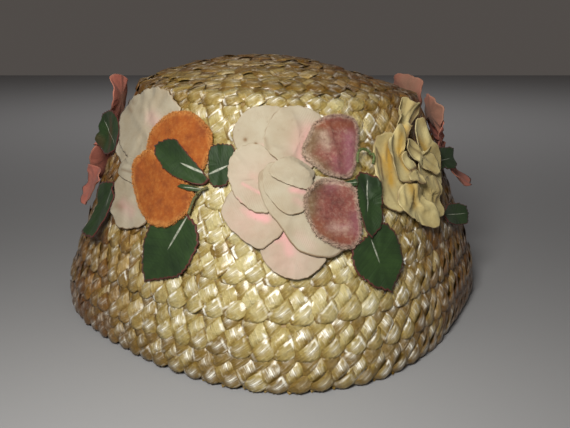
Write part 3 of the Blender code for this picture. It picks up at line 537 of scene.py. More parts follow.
# The stage, and the camera that the photo was taken with
FLOOR_SIZE = 6.0
FLOOR_COLOUR = (0.31, 0.315, 0.325)
WORLD_COLOUR = (0.95, 0.84, 0.77)
WORLD_STRENGTH = 0.085
LAMPS = (
    # name, place, target, size, power, colour
    ("key", (-0.055, -0.375, 0.272), (0.0, 0.0, 0.07), 0.10, 1.80, (1.0, 0.97, 0.92)),
    ("fill", (0.75, -0.35, 0.75), (0.0, 0.0, 0.07), 0.9, 0.2, (0.95, 0.97, 1.0)),
    ("back", (0.0, 0.8, 1.2), (0.0, 2.2, 0.0), 1.2, 9.0, (1.0, 0.97, 0.95)),
)
PHOTO_WIDTH = 570.0
FOCAL_PIXELS = 576.0
SENSOR_WIDTH = 36.0
CAMERA_PLACE = (0.00578, -0.37479, 0.15786)
CAMERA_PITCH = 0.283


def side_line(height):
    share = np.maximum(height, 0.0) / SHOULDER_HEIGHT
    radius = SIDE_RADIUS - (SIDE_RADIUS - SHOULDER_RADIUS) * share**SIDE_BULGE
    turn = np.clip(1 - height / RIM_TURN_HEIGHT, 0, 1)
    return radius - RIM_TURN_IN * turn**2


def measured(radius, height):
    """A half profile with the length along it and its outward normals."""
    along = np.concatenate([[0.0], np.cumsum(np.hypot(np.diff(radius), np.diff(height)))])
    out = np.gradient(height, along)
    up = -np.gradient(radius, along)
    return {"along": along, "radius": radius, "height": height, "out": out, "up": up}


def side_profile():
    height = np.linspace(0, PETAL_OVERRUN * SHOULDER_HEIGHT, PROFILE_STEPS)
    return measured(side_line(height), height)


def hat_profile():
    height = np.linspace(0, SHOULDER_HEIGHT, PROFILE_STEPS)
    share = np.linspace(0, 1, PROFILE_STEPS)[1:]
    dome_radius = SHOULDER_RADIUS * (1 - share)
    dome_height = SHOULDER_HEIGHT + (TIP_HEIGHT - SHOULDER_HEIGHT) * (1 - (1 - share) ** DOME_BULGE)
    radius = np.concatenate([side_line(height), dome_radius])
    return measured(radius, np.concatenate([height, dome_height]))


SIDE = side_profile()
HAT = hat_profile()


def wave(azimuth):
    angle = np.radians(azimuth - 90)
    wander = sum(depth * np.cos(folds * angle - math.radians(turned))
                 for folds, depth, turned in RIM_WAVES)
    from_front = np.abs((azimuth + 180) % 360 - 180)
    share = np.clip((from_front - BACK_START) / (180 - BACK_START), 0, 1)
    return wander * (1 - (1 - BACK_WAVE) * share**2 * (3 - 2 * share))


def hollow(x, y):
    return sum(depth * np.exp(-((x - cx) ** 2 + (y - cy) ** 2) / reach**2)
               for cx, cy, reach, depth in HOLLOWS)


def place(profile, azimuth, along, off):
    """Points on a profile, moved out by off, with the hat's waves, lean and hollows."""
    azimuth = np.asarray(azimuth, float)
    angle = np.radians(azimuth - 90)
    radius = np.interp(along, profile["along"], profile["radius"])
    height = np.interp(along, profile["along"], profile["height"])
    out = np.interp(along, profile["along"], profile["out"])
    up = np.interp(along, profile["along"], profile["up"])
    share = np.clip(height / SHOULDER_HEIGHT, 0, PETAL_OVERRUN)
    radius = radius + np.clip(1 - share, 0, 1) ** WAVE_FADE * wave(azimuth) + off * out
    x = radius * np.cos(angle)
    y = radius * np.sin(angle)
    crown = np.clip(share, 0, 1) ** HOLLOW_FADE
    z = height + off * up + share**2 * (LEAN_RIGHT * x + LEAN_BACK * y) - crown * hollow(x, y)
    return np.stack([x + CROWN_SHIFT * share - MIDDLE[0], y - MIDDLE[1], z], axis=-1)


def new_object(name, mesh, mat):
    obj = bpy.data.objects.new(name, mesh)
    bpy.context.scene.collection.objects.link(obj)
    mesh.materials.clear()
    mesh.materials.append(mat)
    return obj


def closed(bm, mesh):
    """Writes a bmesh to a mesh, its faces turned outwards and smooth."""
    bmesh.ops.recalc_face_normals(bm, faces=bm.faces)
    bm.to_mesh(mesh)
    bm.free()
    mesh.polygons.foreach_set("use_smooth", np.ones(len(mesh.polygons), bool))
    return mesh


def finish_piece(obj, slot, *nodes):
    """Hands a piece to the frame, hiding the solids that it stands for."""
    if nodes:
        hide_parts(*nodes)
    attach(obj, "root")


# Node helpers

class Number:
    """A number in a node tree: reckoning with it adds math nodes."""

    def __init__(self, tree, socket):
        self.tree, self.socket = tree, socket

    def __add__(self, other):
        return reckoned(self.tree, "ADD", self, other)

    def __sub__(self, other):
        return reckoned(self.tree, "SUBTRACT", self, other)

    def __rsub__(self, other):
        return reckoned(self.tree, "SUBTRACT", other, self)

    def __mul__(self, other):
        return reckoned(self.tree, "MULTIPLY", self, other)

    def __pow__(self, power):
        return reckoned(self.tree, "POWER", self, power)

    def __abs__(self):
        return reckoned(self.tree, "ABSOLUTE", self)

    def sine(self):
        return reckoned(self.tree, "SINE", self)

    def or_more(self, other):
        """The greater of two numbers."""
        return reckoned(self.tree, "MAXIMUM", self, other)

    def held(self):
        """The number kept between 0 and 1."""
        return Number(self.tree, add(self.tree, "ShaderNodeClamp", Value=self).outputs[0])


def reckoned(tree, operation, *values):
    node = tree.nodes.new("ShaderNodeMath")
    node.operation = operation
    for index, value in enumerate(values):
        connect(tree, value, node.inputs[index])
    return Number(tree, node.outputs[0])


def add(tree, kind, settings=None, **inputs):
    """A node with its settings, and its inputs by name, or by place as i0, i1 and so on."""
    node = tree.nodes.new(kind)
    for key, value in (settings or {}).items():
        setattr(node, key, value)
    for key, value in inputs.items():
        socket = node.inputs[int(key[1:])] if key[0] == "i" and key[1:].isdigit() else node.inputs[key]
        connect(tree, value, socket)
    return node


def connect(tree, value, socket):
    """Links a socket to a number, a node's first output or a socket, or else sets its value."""
    if isinstance(value, Number):
        value = value.socket
    elif isinstance(value, bpy.types.Node):
        value = value.outputs[0]
    if isinstance(value, bpy.types.NodeSocket):
        tree.links.new(value, socket)
    else:
        socket.default_value = (*value, 1) if socket.type == "RGBA" else value


def new_material(name, **constants):
    """A material with its tree and its shader, whose constant inputs are given by name."""
    mat = bpy.data.materials.new(name)
    mat.use_nodes = True
    shader = mat.node_tree.nodes["Principled BSDF"]
    for key, value in constants.items():
        connect(mat.node_tree, value, shader.inputs[key.replace("_", " ").title().replace("Ior", "IOR")])
    return mat, mat.node_tree, shader


def mixed(tree, factor, first, second, blend="MIX"):
    settings = {"data_type": "RGBA", "blend_type": blend}
    return add(tree, "ShaderNodeMix", settings, i0=factor, i6=first, i7=second).outputs[2]


def layered(tree, colour, layers):
    """A colour with other colours laid over it, each by its own factor."""
    for factor, other in layers:
        colour = mixed(tree, factor, colour, other)
    return colour


def ramp(tree, value, stops):
    node = tree.nodes.new("ShaderNodeValToRGB")
    connect(tree, value, node.inputs[0])
    elements = node.color_ramp.elements
    while len(elements) < len(stops):
        elements.new(0.5)
    for element, (position, colour) in zip(elements, stops):
        element.position = position
        element.color = (*colour, 1)
    return node.outputs[0]


def rising(tree, value, start, end, least=0.0):
    """A number that rises to 1 as another one goes from start to end."""
    return Number(tree, ramp(tree, value, ((start, (least, least, least)), (end, (1, 1, 1)))))


def attribute(tree, name):
    node = add(tree, "ShaderNodeAttribute", {"attribute_name": name})
    return Number(tree, node.outputs["Fac"])


def cut_coords(tree):
    """A piece's own flat coordinates."""
    return add(tree, "ShaderNodeAttribute", {"attribute_name": "cut"}).outputs["Vector"]


def object_coords(tree):
    return tree.nodes.new("ShaderNodeTexCoord").outputs["Object"]


def parts_of(tree, vector):
    """The first two parts of a vector."""
    node = add(tree, "ShaderNodeSeparateXYZ", Vector=vector)
    return Number(tree, node.outputs[0]), Number(tree, node.outputs[1])


def noise(tree, coords, scale, detail, rough):
    node = add(tree, "ShaderNodeTexNoise", Vector=coords, Scale=scale, Detail=detail, Roughness=rough)
    return Number(tree, node.outputs[0])


def stretched(tree, coords, scale):
    return add(tree, "ShaderNodeMapping", Vector=coords, Scale=scale).outputs[0]


def threads(tree, where, count):
    """Fine threads both ways, from two crossed sine waves."""
    warp, weft = parts_of(tree, where)
    return ((warp * count).sine() * (weft * count).sine() + 1.0) * 0.5


def coloured(tree, shader, colour, height, strength, distance):
    """Gives a shader its colour and its bumps."""
    bump = add(tree, "ShaderNodeBump", Strength=strength, Distance=distance, Height=height)
    tree.links.new(colour, shader.inputs["Base Color"])
    tree.links.new(bump.outputs[0], shader.inputs["Normal"])


# Finishes

def bell(value, middle, slope, top):
    """Highest at the middle value, falling off evenly to 0 on both sides of it."""
    return (top - abs(value - middle) * slope).held()


def glossy_straw():
    """Shiny film straw: fine ridges run along each float; its edges and middles carry painted highlights,
    its creases and lower ends painted shade.
    """
    mat, tree, shader = new_material(
        "plaited_straw", roughness=0.36, specular_ior_level=0.62, coat_weight=0.40, coat_roughness=0.20,
        anisotropic=0.65, specular_tint=(1.0, 0.93, 0.70))
    cut = cut_coords(tree)
    run, wide = parts_of(tree, cut)
    grain = add(tree, "ShaderNodeTangent", {"direction_type": "UV_MAP", "uv_map": "cut"})
    tree.links.new(grain.outputs[0], shader.inputs["Tangent"])
    where = object_coords(tree)
    ridges = noise(tree, stretched(tree, cut, (0.35, 3.2, 1.0)), scale=3.0, detail=3.0, rough=0.72)
    crumple = noise(tree, where, scale=330.0, detail=3.0, rough=0.6)
    patches = noise(tree, where, scale=48.0, detail=3.0, rough=0.6)
    border = (abs(run - 0.5) * 2.3).or_more(abs(wide - 0.5) * 2.0) + (crumple - 0.5) * 0.22
    # Painted shade in the creases between the floats and at the lower end of each float
    crease_shade = ((border - 0.92) * 6.0).held()
    foot_shade = (0.42 - run).held()
    shade = attribute(tree, "tone") * 0.75 + (crumple - 0.5) * 0.45 + (patches - 0.5) * 0.55
    shade = shade - crease_shade * 0.30 - foot_shade * 0.95 + (ridges - 0.5) * 0.55
    body = ramp(tree, shade, ((0.0, STRAW_BROWN), (0.28, STRAW_DEEP), (0.62, STRAW_PALE)))
    # Browner and darker where the straw is browned: painted shade round the sides and over the far right of
    # the crown, browner straw all over the crown
    body = mixed(tree, attribute(tree, "brown_shade"), body, STRAW_BROWN_SHADE, "MULTIPLY")
    # Painted highlights: pale streaks, a glint over the middle of each float and a line along its edges, in
    # broken patches
    streaks = ((ridges - 0.47) * 6.5).held()
    highlight_patches = ((noise(tree, where, scale=170.0, detail=2.0, rough=0.5) - 0.46) * 6.0).held()
    painted_edge_highlight = bell(border, middle=0.80, slope=8.0, top=1.30) * (highlight_patches * (wide * 0.9 + 0.30))
    painted_edge_highlight = painted_edge_highlight * attribute(tree, "painted_edge_highlight")
    painted_glint = bell(run, middle=0.60, slope=4.2, top=1.25) * bell(wide, middle=0.56, slope=3.4, top=1.15)
    painted_glint = painted_glint * (streaks * 0.85 + 0.15) * attribute(tree, "glint")
    lit = painted_glint * 1.05 + painted_edge_highlight * 1.25 + streaks * highlight_patches * 0.24
    body = mixed(tree, lit.held(), body, STRAW_LIT)
    coloured(tree, shader, body, ridges * 1.5 + crumple * 1.5, strength=0.9, distance=0.0010)
    return mat


def straw_wall():
    """The dull straw behind the floats, darker than they are: painted shade in the gaps between them."""
    mat, tree, shader = new_material("straw_wall", roughness=0.55)
    patches = noise(tree, object_coords(tree), scale=220.0, detail=4.0, rough=0.6)
    body = ramp(tree, patches, ((0.30, WALL_DEEP), (0.70, WALL_PALE)))
    coloured(tree, shader, body, patches, strength=0.5, distance=0.0006)
    return mat


def petal_cloth(name, body, shade, tint, stain, pale):
    """Starched cotton: softly clouded and tinted in places; its upper edges pale, its lower ones darkened by
    soil and painted shade.
    """
    mat, tree, shader = new_material(name, roughness=0.82, sheen_weight=0.05, sheen_roughness=0.5)
    where = object_coords(tree)
    clouds = noise(tree, where, scale=64.0, detail=5.0, rough=0.65)
    soft = noise(tree, where, scale=190.0, detail=3.0, rough=0.6)
    drawn_out = stretched(tree, cut_coords(tree), (1.5, 14.0, 1.0))
    streaky = noise(tree, drawn_out, scale=2.0, detail=3.0, rough=0.6)
    tinted = attribute(tree, "tint") * (soft * 0.7 + streaky * 0.9 + 0.20)
    stained = attribute(tree, "stain") * (soft + 0.45)
    rim = attribute(tree, "share") + (soft - 0.5) * 0.02
    light_rim = ((rim - 0.955) * 22.0).held()
    # Dark edges: soil and painted shade, strongest where an edge hangs down
    dark_rim = ((rim - 0.962) * 40.0).held() * attribute(tree, "soil_and_shade")
    specks = rising(tree, noise(tree, where, scale=320.0, detail=1.0, rough=0.4), start=0.72, end=0.78)
    colour = layered(tree, ramp(tree, clouds, ((0.34, shade), (0.62, body))), (
        (tinted.held(), tint), (stained.held(), stain), (light_rim * 0.30, pale),
        (dark_rim * 0.85, stain), (specks * 0.14, stain)))
    height = threads(tree, where, count=6500.0) * 0.35 + clouds
    coloured(tree, shader, colour, height, strength=0.25, distance=0.0006)
    return mat


def velvet(name, deep, middle, light, tan, second, rust, pile):
    """Crushed velvet, faded to other shades in places, with painted sheen where its pale marks lie, its
    whitish pile standing at the edges.
    """
    mat, tree, shader = new_material(
        name, roughness=0.92, sheen_weight=0.25, sheen_roughness=0.38, sheen_tint=pile)
    where = object_coords(tree)
    crushed = noise(tree, where, scale=95.0, detail=4.0, rough=0.65)
    fuzzy = noise(tree, where, scale=430.0, detail=4.0, rough=0.75)
    uneven = crushed * 0.7 + fuzzy * 0.9 + 0.15
    edge = ((attribute(tree, "share") + fuzzy * 0.34 - 1.03) * 5.5).held()
    dust = noise(tree, where, scale=520.0, detail=4.0, rough=0.75)
    flecks = rising(tree, dust, start=0.46, end=0.72) * ((crushed - 0.22) * 0.85)
    colour = layered(tree, ramp(tree, crushed, ((0.30, deep), (0.50, middle), (0.72, light))), (
        ((attribute(tree, "tint") * uneven * 0.95).held(), tan),
        ((attribute(tree, "stain") * uneven * 0.95).held(), second),
        ((attribute(tree, "rust") * uneven * 0.85).held(), rust),
        # The pale marks: painted sheen
        ((attribute(tree, "pale") * (fuzzy * 2.6 - 0.65)).held(), pile),
        (edge * 0.80, pile), (flecks.held(), pile)))
    coloured(tree, shader, colour, fuzzy * 0.8 + crushed * 1.2, strength=0.6, distance=0.0008)
    return mat


def leaf_cloth(name):
    """Dark green cloth with a brushed silver vein, faint side veins and a reddish cut edge."""
    mat, tree, shader = new_material(name, roughness=0.66, specular_ior_level=0.34, sheen_weight=0.06)
    where = object_coords(tree)
    clouds = noise(tree, where, scale=60.0, detail=4.0, rough=0.6)
    fine = noise(tree, where, scale=420.0, detail=3.0, rough=0.6)
    along = attribute(tree, "vein_along")
    across = abs(attribute(tree, "vein_away"))
    width = (along * (1.0 - along)).or_more(0.0) ** 0.5 * 1.25
    vein = ((width - (across + fine * 0.25)) * 5.0).held()
    vein = vein * rising(tree, fine, start=0.34, end=0.56, least=0.35)
    ribs = abs((along * 15.0 - across * 0.6).sine()) ** 14.0
    stained = attribute(tree, "stain") * (clouds + fine)
    edge = ((attribute(tree, "share") + clouds * 0.05 - 0.962) * 26.0).held()
    colour = layered(tree, ramp(tree, clouds, ((0.30, LEAF_DEEP), (0.70, LEAF_LIGHT))), (
        (vein * 0.80, LEAF_VEIN), (ribs * 0.16, LEAF_RIB), (stained.held(), LEAF_STAIN),
        (edge * 0.95, LEAF_EDGE)))
    height = threads(tree, where, count=5500.0) * 0.35 + ribs * -0.25 + clouds * 0.5
    coloured(tree, shader, colour, height, strength=0.35, distance=0.0005)
    return mat


def wound_paper(name, brown):
    """Green paper strip, browned by the share that is asked."""
    mat, tree, shader = new_material(name, roughness=0.7)
    patches = noise(tree, object_coords(tree), scale=600.0, detail=3.0, rough=0.5)
    fresh, old = (ramp(tree, patches, ((0.35, deep), (0.65, light)))
                  for deep, light in (PAPER_GREEN, PAPER_BROWN))
    coloured(tree, shader, mixed(tree, brown, fresh, old), patches, strength=0.3, distance=0.0003)
    return mat


# The plait

def browned(spots):
    """How brown and dark the straw is made, from 0 to 1: painted shade at its sides and over the far right
    of its top, and browner all over the crown.
    """
    x, y, z = spots.T
    crown = np.clip((z - BROWN_HEIGHT) / BROWN_FADE, 0, 1)
    far = np.clip((y - BROWN_BACK) / BROWN_BACK_FADE, 0, 1)
    far = far + RIGHT_BROWN * np.clip(x / BROWN_RIGHT_FADE, 0, 1)
    sides = np.interp(np.abs(np.degrees(np.arctan2(x, -y))), BROWN_SIDES, SIDE_BROWNS)
    return np.clip(FAR_BROWN * crown * far + CROWN_BROWN * crown + (1 - crown) * sides, 0, 1)


def plait_places(first, last, seed):
    """Where each float of the plait lies in the unrolled chart, row by row, and how it is turned."""
    random = np.random.default_rng(seed)
    end = HAT["along"][-1]
    courses = []
    for row in range(first, last):
        low = RIM_LIFT if row == 0 else row * ROW
        radius = np.interp(min(low + ROW / 2, end), HAT["along"], HAT["radius"])
        count = max(FEWEST_FLOATS, round(2 * math.pi * radius / CELL))
        turned = random.uniform(0, 1)
        row_tone, most_painted_edge_highlight, most_glint, bulk = ROW_LOOKS[row] if row < SIDE_ROWS else TOP_LOOKS
        for course, (kind, over, level, proud, tone) in enumerate(COURSES):
            if low + over > end - TIP_GAP:
                continue
            share = np.arange(count) + turned + course * LONG_SIDE[0] / CELL
            around = 360 * DEGREE * (share + random.normal(0, ROUND_SPREAD, count)) / count
            along = low + over + random.normal(0, ALONG_SPREAD, count)
            off = (proud if row in PROUD_ROWS else level) + random.normal(0, OFF_SPREAD, count)
            # Browner and darker floats, partly painted shade, get less of the painted highlights
            brown = browned(place(HAT, around / DEGREE, along, 0))
            tones = random.normal(tone + row_tone, TONE_SPREAD, count) - BROWN_SHADE_TONE * brown
            brown_shade = np.clip(brown * random.uniform(*BROWN_SHADE_RANGE, count), 0, 1)
            painted_edge_highlight = most_painted_edge_highlight * random.uniform(*PAINTED_EDGE_HIGHLIGHT_RANGE, count) ** PAINTED_EDGE_HIGHLIGHT_POWER * (1 - BROWN_SHADE_EDGE_HIGHLIGHT * brown_shade)
            glint = most_glint * random.uniform(*GLINT_RANGE, count) ** GLINT_POWER * (1 - BROWN_SHADE_GLINT * brown_shade)
            size = random.normal(1, SIZE_SPREAD, count)
            wide = size * 360 * DEGREE / count / CELL
            courses.append({
                "points": np.stack([around, along, off], axis=-1),
                "stretch": np.stack([wide, size, size * bulk * (1 - BROWN_SHADE_BULK * brown_shade)], axis=-1),
                "kind": np.full(count, kind), "tone": np.clip(tones, 0, 1), "brown_shade": brown_shade, "painted_edge_highlight": painted_edge_highlight,
                "glint": glint, "loose": LOOSE - BROWN_SHADE_LOOSE * brown})
    places = {key: np.concatenate([course[key] for course in courses]) for key in courses[0]}
    count = len(places["kind"])
    tilt = random.normal(0, 1, (count, 2)) * places.pop("loose")[:, None]
    lean = np.array(SIDE_LEANS if first < SIDE_ROWS else TOP_LEANS)[places["kind"]] + tilt[:, 0]
    broad = np.maximum(places["stretch"][:, 0], 1)
    yaw = random.normal(0, YAW_SPREAD, count) / broad
    none, one = np.zeros(count), np.ones(count)
    places["outward"] = np.stack([tilt[:, 1] / broad, lean, one], axis=-1)
    places["across"] = np.stack([one, yaw, none], axis=-1)
    return places


def wrapped(mesh, outside):
    """Lays a mesh made in the unrolled chart round the hat, inside or outside."""
    flat = np.zeros(len(mesh.vertices) * 3)
    mesh.vertices.foreach_get("co", flat)
    around, along, off = flat.reshape(-1, 3).T
    if not outside:
        along, off = along + INSIDE_SHIFT, -INSIDE_DEPTH - off
    along = np.where(along < LOWEST, LOWEST * np.exp(np.minimum(along - LOWEST, 0) / LOWEST), along)
    highest = HAT["along"][-1] - TIP_EASE
    eased = highest + TIP_EASE * (1 - np.exp(-np.maximum(along - highest, 0) / TIP_EASE))
    along = np.where(along > highest, eased, along)
    mesh.vertices.foreach_set("co", place(HAT, around / DEGREE, along, off).ravel())
    if not outside:
        mesh.flip_normals()
    mesh.update()


def point_mesh(name, places):
    mesh = bpy.data.meshes.new(name)
    mesh.vertices.add(len(places["points"]))
    mesh.vertices.foreach_set("co", places["points"].ravel())
    for key in ("outward", "across", "stretch"):
        mesh.attributes.new(key, "FLOAT_VECTOR", "POINT").data.foreach_set("vector", places[key].ravel())
    for key in ("tone", "brown_shade", "painted_edge_highlight", "glint"):
        mesh.attributes.new(key, "FLOAT", "POINT").data.foreach_set("value", places[key])
    mesh.attributes.new("kind", "INT", "POINT").data.foreach_set("value", places["kind"].astype(np.int32))
    mesh.update()
    return mesh


def scaled(tree, vector, factor):
    return add(tree, "ShaderNodeVectorMath", {"operation": "SCALE"}, i0=vector, Scale=factor).outputs[0]


def named(tree, name, data_type):
    node = add(tree, "GeometryNodeInputNamedAttribute", {"data_type": data_type}, Name=name)
    return node.outputs["Attribute"]


def new_tree(name, inputs):
    """A geometry node tree, and its inputs by name."""
    tree = bpy.data.node_groups.new(name, "GeometryNodeTree")
    for label, kind in inputs:
        tree.interface.new_socket(label, in_out="INPUT", socket_type="NodeSocket" + kind)
    tree.interface.new_socket("Geometry", in_out="OUTPUT", socket_type="NodeSocketGeometry")
    return tree, tree.nodes.new("NodeGroupInput").outputs


def handed_out(tree, geometry, material):
    """Gives geometry its material and hands it out of the tree."""
    dressed = add(tree, "GeometryNodeSetMaterial", Geometry=geometry, Material=material)
    tree.links.new(dressed.outputs[0], tree.nodes.new("NodeGroupOutput").inputs[0])


def bent_float(tree, given, kind):
    """One flat grid bent to a float: arched, tucked under at its ends, and folded where it is an edge."""
    size = {"Size X": 1.0, "Size Y": 1.0, "Vertices X": given["Steps Along"],
            "Vertices Y": given["Steps Across"]}
    grid = add(tree, "GeometryNodeMeshGrid", **size)
    run, wide = parts_of(tree, tree.nodes.new("GeometryNodeInputPosition").outputs[0])
    sides = ("Short Side", "Long Side") if kind == 1 else ("Long Side", "Short Side")
    forward = scaled(tree, given[sides[0]], run * FLOAT_LENGTH)
    sideways = scaled(tree, given[sides[1]], wide * FLOAT_WIDTH)
    x, y = parts_of(tree, add(tree, "ShaderNodeVectorMath", {"operation": "ADD"}, i0=forward, i1=sideways))
    arch = (1.0 - abs(wide * 2.0) ** ARCH_POWER * ARCH_DROP) * given["Crowning"]
    z = arch - abs(run * 2.0) ** TUCK_POWER * given["Tuck"]
    if kind == 2:
        below = (y * -1.0 - given["Fold Start"]).or_more(0.0)
        y = y + below * FOLD_RISE
        z = z - below * FOLD_DROP
    bent = add(tree, "ShaderNodeCombineXYZ", X=x, Y=y, Z=z)
    marked_grid = add(tree, "GeometryNodeStoreNamedAttribute", {"data_type": "FLOAT2", "domain": "CORNER"},
                      Geometry=grid.outputs["Mesh"], Name="cut", Value=grid.outputs["UV Map"])
    moved = add(tree, "GeometryNodeSetPosition", Geometry=marked_grid, Position=bent)
    return add(tree, "GeometryNodeFlipFaces", Mesh=moved) if kind == 1 else moved


def plait_tree():
    """A node tree that lays a float of straw at every point, in the way that the point's kind asks."""
    tree, given = new_tree("plait_floats", (
        ("Geometry", "Geometry"), ("Long Side", "Vector"), ("Short Side", "Vector"), ("Crowning", "Float"),
        ("Tuck", "Float"), ("Fold Start", "Float"), ("Steps Along", "Int"), ("Steps Across", "Int"),
        ("Straw", "Material")))
    turned = add(tree, "FunctionNodeAxesToRotation", {"primary_axis": "Z", "secondary_axis": "X"},
                 i0=named(tree, "outward", "FLOAT_VECTOR"), i1=named(tree, "across", "FLOAT_VECTOR"))
    joined = tree.nodes.new("GeometryNodeJoinGeometry")
    for kind in (0, 1, 2):
        same = add(tree, "FunctionNodeCompare", {"data_type": "INT", "operation": "EQUAL"},
                   i2=named(tree, "kind", "INT"), i3=kind)
        copies = add(tree, "GeometryNodeInstanceOnPoints", Points=given["Geometry"], Selection=same,
                     Instance=bent_float(tree, given, kind), Rotation=turned,
                     Scale=named(tree, "stretch", "FLOAT_VECTOR"))
        tree.links.new(copies.outputs[0], joined.inputs[0])
    real = add(tree, "GeometryNodeRealizeInstances", Geometry=joined)
    handed_out(tree, add(tree, "GeometryNodeSetShadeSmooth", Geometry=real), given["Straw"])
    return tree


def grown(name, mesh, tree, values):
    """The plain mesh that a node tree makes of a mesh with these inputs."""
    obj = bpy.data.objects.new(name + "_bare", mesh)
    bpy.context.scene.collection.objects.link(obj)
    modifier = obj.modifiers.new("grown", "NODES")
    modifier.node_group = tree
    for item in tree.interface.items_tree:
        if item.item_type == "SOCKET" and item.in_out == "INPUT" and item.name in values:
            modifier[item.identifier] = values[item.name]
    graph = bpy.context.evaluated_depsgraph_get()
    made = bpy.data.meshes.new_from_object(
        obj.evaluated_get(graph), preserve_all_data_layers=True, depsgraph=graph)
    bpy.data.objects.remove(obj, do_unlink=True)
    made.name = name
    return made


def make_plait(name, node, first, last, tree, straw, outside, seed):
    """The floats of some rows, on the outside or on the inside of the hat."""
    places = plait_places(first, last, seed)
    if not outside:
        places["kind"] = np.minimum(places["kind"], 1)
        places["points"][:, 2] = 0
        places["stretch"][:, 2] = INSIDE_BULK
    steps = OUTSIDE_STEPS if outside else INSIDE_STEPS
    mesh = grown(name, point_mesh(name, places), tree, {
        "Long Side": (*LONG_SIDE, 0.0), "Short Side": (*SHORT_SIDE, 0.0), "Crowning": CROWNING, "Tuck": TUCK,
        "Fold Start": FOLD_START, "Steps Along": steps[0], "Steps Across": steps[1], "Straw": straw})
    wrapped(mesh, outside)
    finish_piece(new_object(name, mesh, straw), "straw", *([node] if outside else []))


def make_wall(name, low, high, mat):
    """The wall behind the floats, turned round the hat."""
    up = np.linspace(low, high, WALL_STEPS)
    along = np.concatenate([up, up[::-1]])
    off = np.repeat([-WALL_FACE, -WALL_BACK], WALL_STEPS)
    bm = bmesh.new()
    sections = [[bm.verts.new(point) for point in place(HAT, np.full(len(along), azimuth), along, off)]
                for azimuth in np.linspace(0, 360, WALL_ROUNDS, endpoint=False)]
    for section, beside in zip(sections, sections[1:] + sections[:1]):
        for i in range(len(along)):
            j = (i + 1) % len(along)
            bm.faces.new((section[i], beside[i], beside[j], section[j]))
    bmesh.ops.remove_doubles(bm, verts=bm.verts, dist=1e-6)
    finish_piece(new_object(name, closed(bm, bpy.data.meshes.new(name)), mat), "straw")


# The cut cloth

class Relief:
    """How high the cloth already laid stands at each place of the side."""

    def __init__(self):
        self.rounds = int(360 / RELIEF_ROUND)
        self.ups = int(RELIEF_TOP / RELIEF_UP)
        self.top = np.zeros((self.rounds, self.ups))

    def read(self, azimuth, along):
        a = ((azimuth + 180) / RELIEF_ROUND) % self.rounds
        b = np.clip(along / RELIEF_UP, 0, self.ups - 2)
        i, j = a.astype(int) % self.rounds, b.astype(int)
        level = np.zeros(a.shape)
        for di in (-1, 0, 1, 2):
            for dj in (-1, 0, 1, 2):
                near = self.top[(i + di) % self.rounds, np.clip(j + dj, 0, self.ups - 1)]
                level = np.maximum(level, near)
        return level

    def write(self, azimuth, along, top):
        i = np.round((azimuth + 180) / RELIEF_ROUND).astype(int) % self.rounds
        j = np.clip(np.round(along / RELIEF_UP).astype(int), 0, self.ups - 1)
        np.maximum.at(self.top, (i, j), top)


def curve(before, here, after, beyond, part):
    """The part of a smooth curve from here to after, between its neighbours."""
    second = 2 * before - 5 * here + 4 * after - beyond
    third = 3 * here - before - 3 * after + beyond
    return here + part / 2 * (after - before) + part**2 / 2 * second + part**3 / 2 * third


def traced(name, angle, curved):
    """The middle of a traced outline, and how far its edge is from there at each angle."""
    middle, *points = np.array(CUTS[name]) / 1000
    here = (points - middle)[:, None]
    before, after, beyond = (np.roll(here, shift, axis=0) for shift in (1, -1, -2))
    part = np.linspace(0, 1, EDGE_STEPS, endpoint=False)[None, :, None]
    edge = curve(before, here, after, beyond, part) if curved else here * (1 - part) + after * part
    x, y = edge.reshape(-1, 2).T
    reach = np.interp(angle, np.arctan2(y, x), np.hypot(x, y), period=2 * math.pi)
    return middle, reach


def unevenness(random, angle, folds, depths):
    """A number near 1 at each angle, from waves of random depth and place."""
    uneven = 1.0
    for count, depth in zip(folds, depths):
        uneven = uneven * (1 + random.normal(0, depth) * np.cos(count * angle + random.uniform(0, 6)))
    return uneven


def outline(piece, angle, seed):
    """A cut piece's middle, and its edge as lengths from there along it and across it."""
    random = np.random.default_rng(seed)
    teeth, depth = CLOTHS[piece["kind"]][5:7]
    if piece["name"] in CUTS:
        (middle_u, middle_v), reach = traced(piece["name"], angle, piece["kind"] != "leaf")
        edge_u, edge_v = reach * np.cos(angle), reach * np.sin(angle)
        uneven = unevenness(random, angle, TRACED_FOLDS, [TRACED_UNEVEN] * len(TRACED_FOLDS))
    else:
        widest, tip, base = OVALS[piece["name"]]
        middle_u, middle_v = widest * piece["length"], 0.0
        ahead = np.cos(angle)
        power = np.where(ahead > 0, tip, base)
        edge_u = np.where(ahead > 0, piece["length"] - middle_u, middle_u) * ahead
        edge_v = piece["width"] / 2 * np.sign(np.sin(angle)) * np.abs(np.sin(angle)) ** power
        uneven = unevenness(random, angle, OVAL_FOLDS, [OVAL_UNEVEN / folds for folds in OVAL_FOLDS])
    if teeth:
        uneven = uneven * (1 - depth * ((angle * teeth / (2 * math.pi)) % 1.0))
    return middle_u, middle_v, edge_u * uneven, edge_v * uneven


def marked(piece, what, u, v):
    """How strongly the marks of one kind show at each point of a piece."""
    field = np.zeros(u.shape)
    for kind, *ends, reach, strength in MARKS.get(piece["name"], ()):
        if kind == what:
            u0, v0, u1, v1 = (end / 1000 for end in ends)
            du, dv = u1 - u0, v1 - v0
            share = np.clip(((u - u0) * du + (v - v0) * dv) / (du * du + dv * dv), 0, 1)
            away = np.hypot(u - u0 - share * du, v - v0 - share * dv)
            field = np.maximum(field, strength * np.exp(-((away * 1000 / reach) ** 2)))
    return field


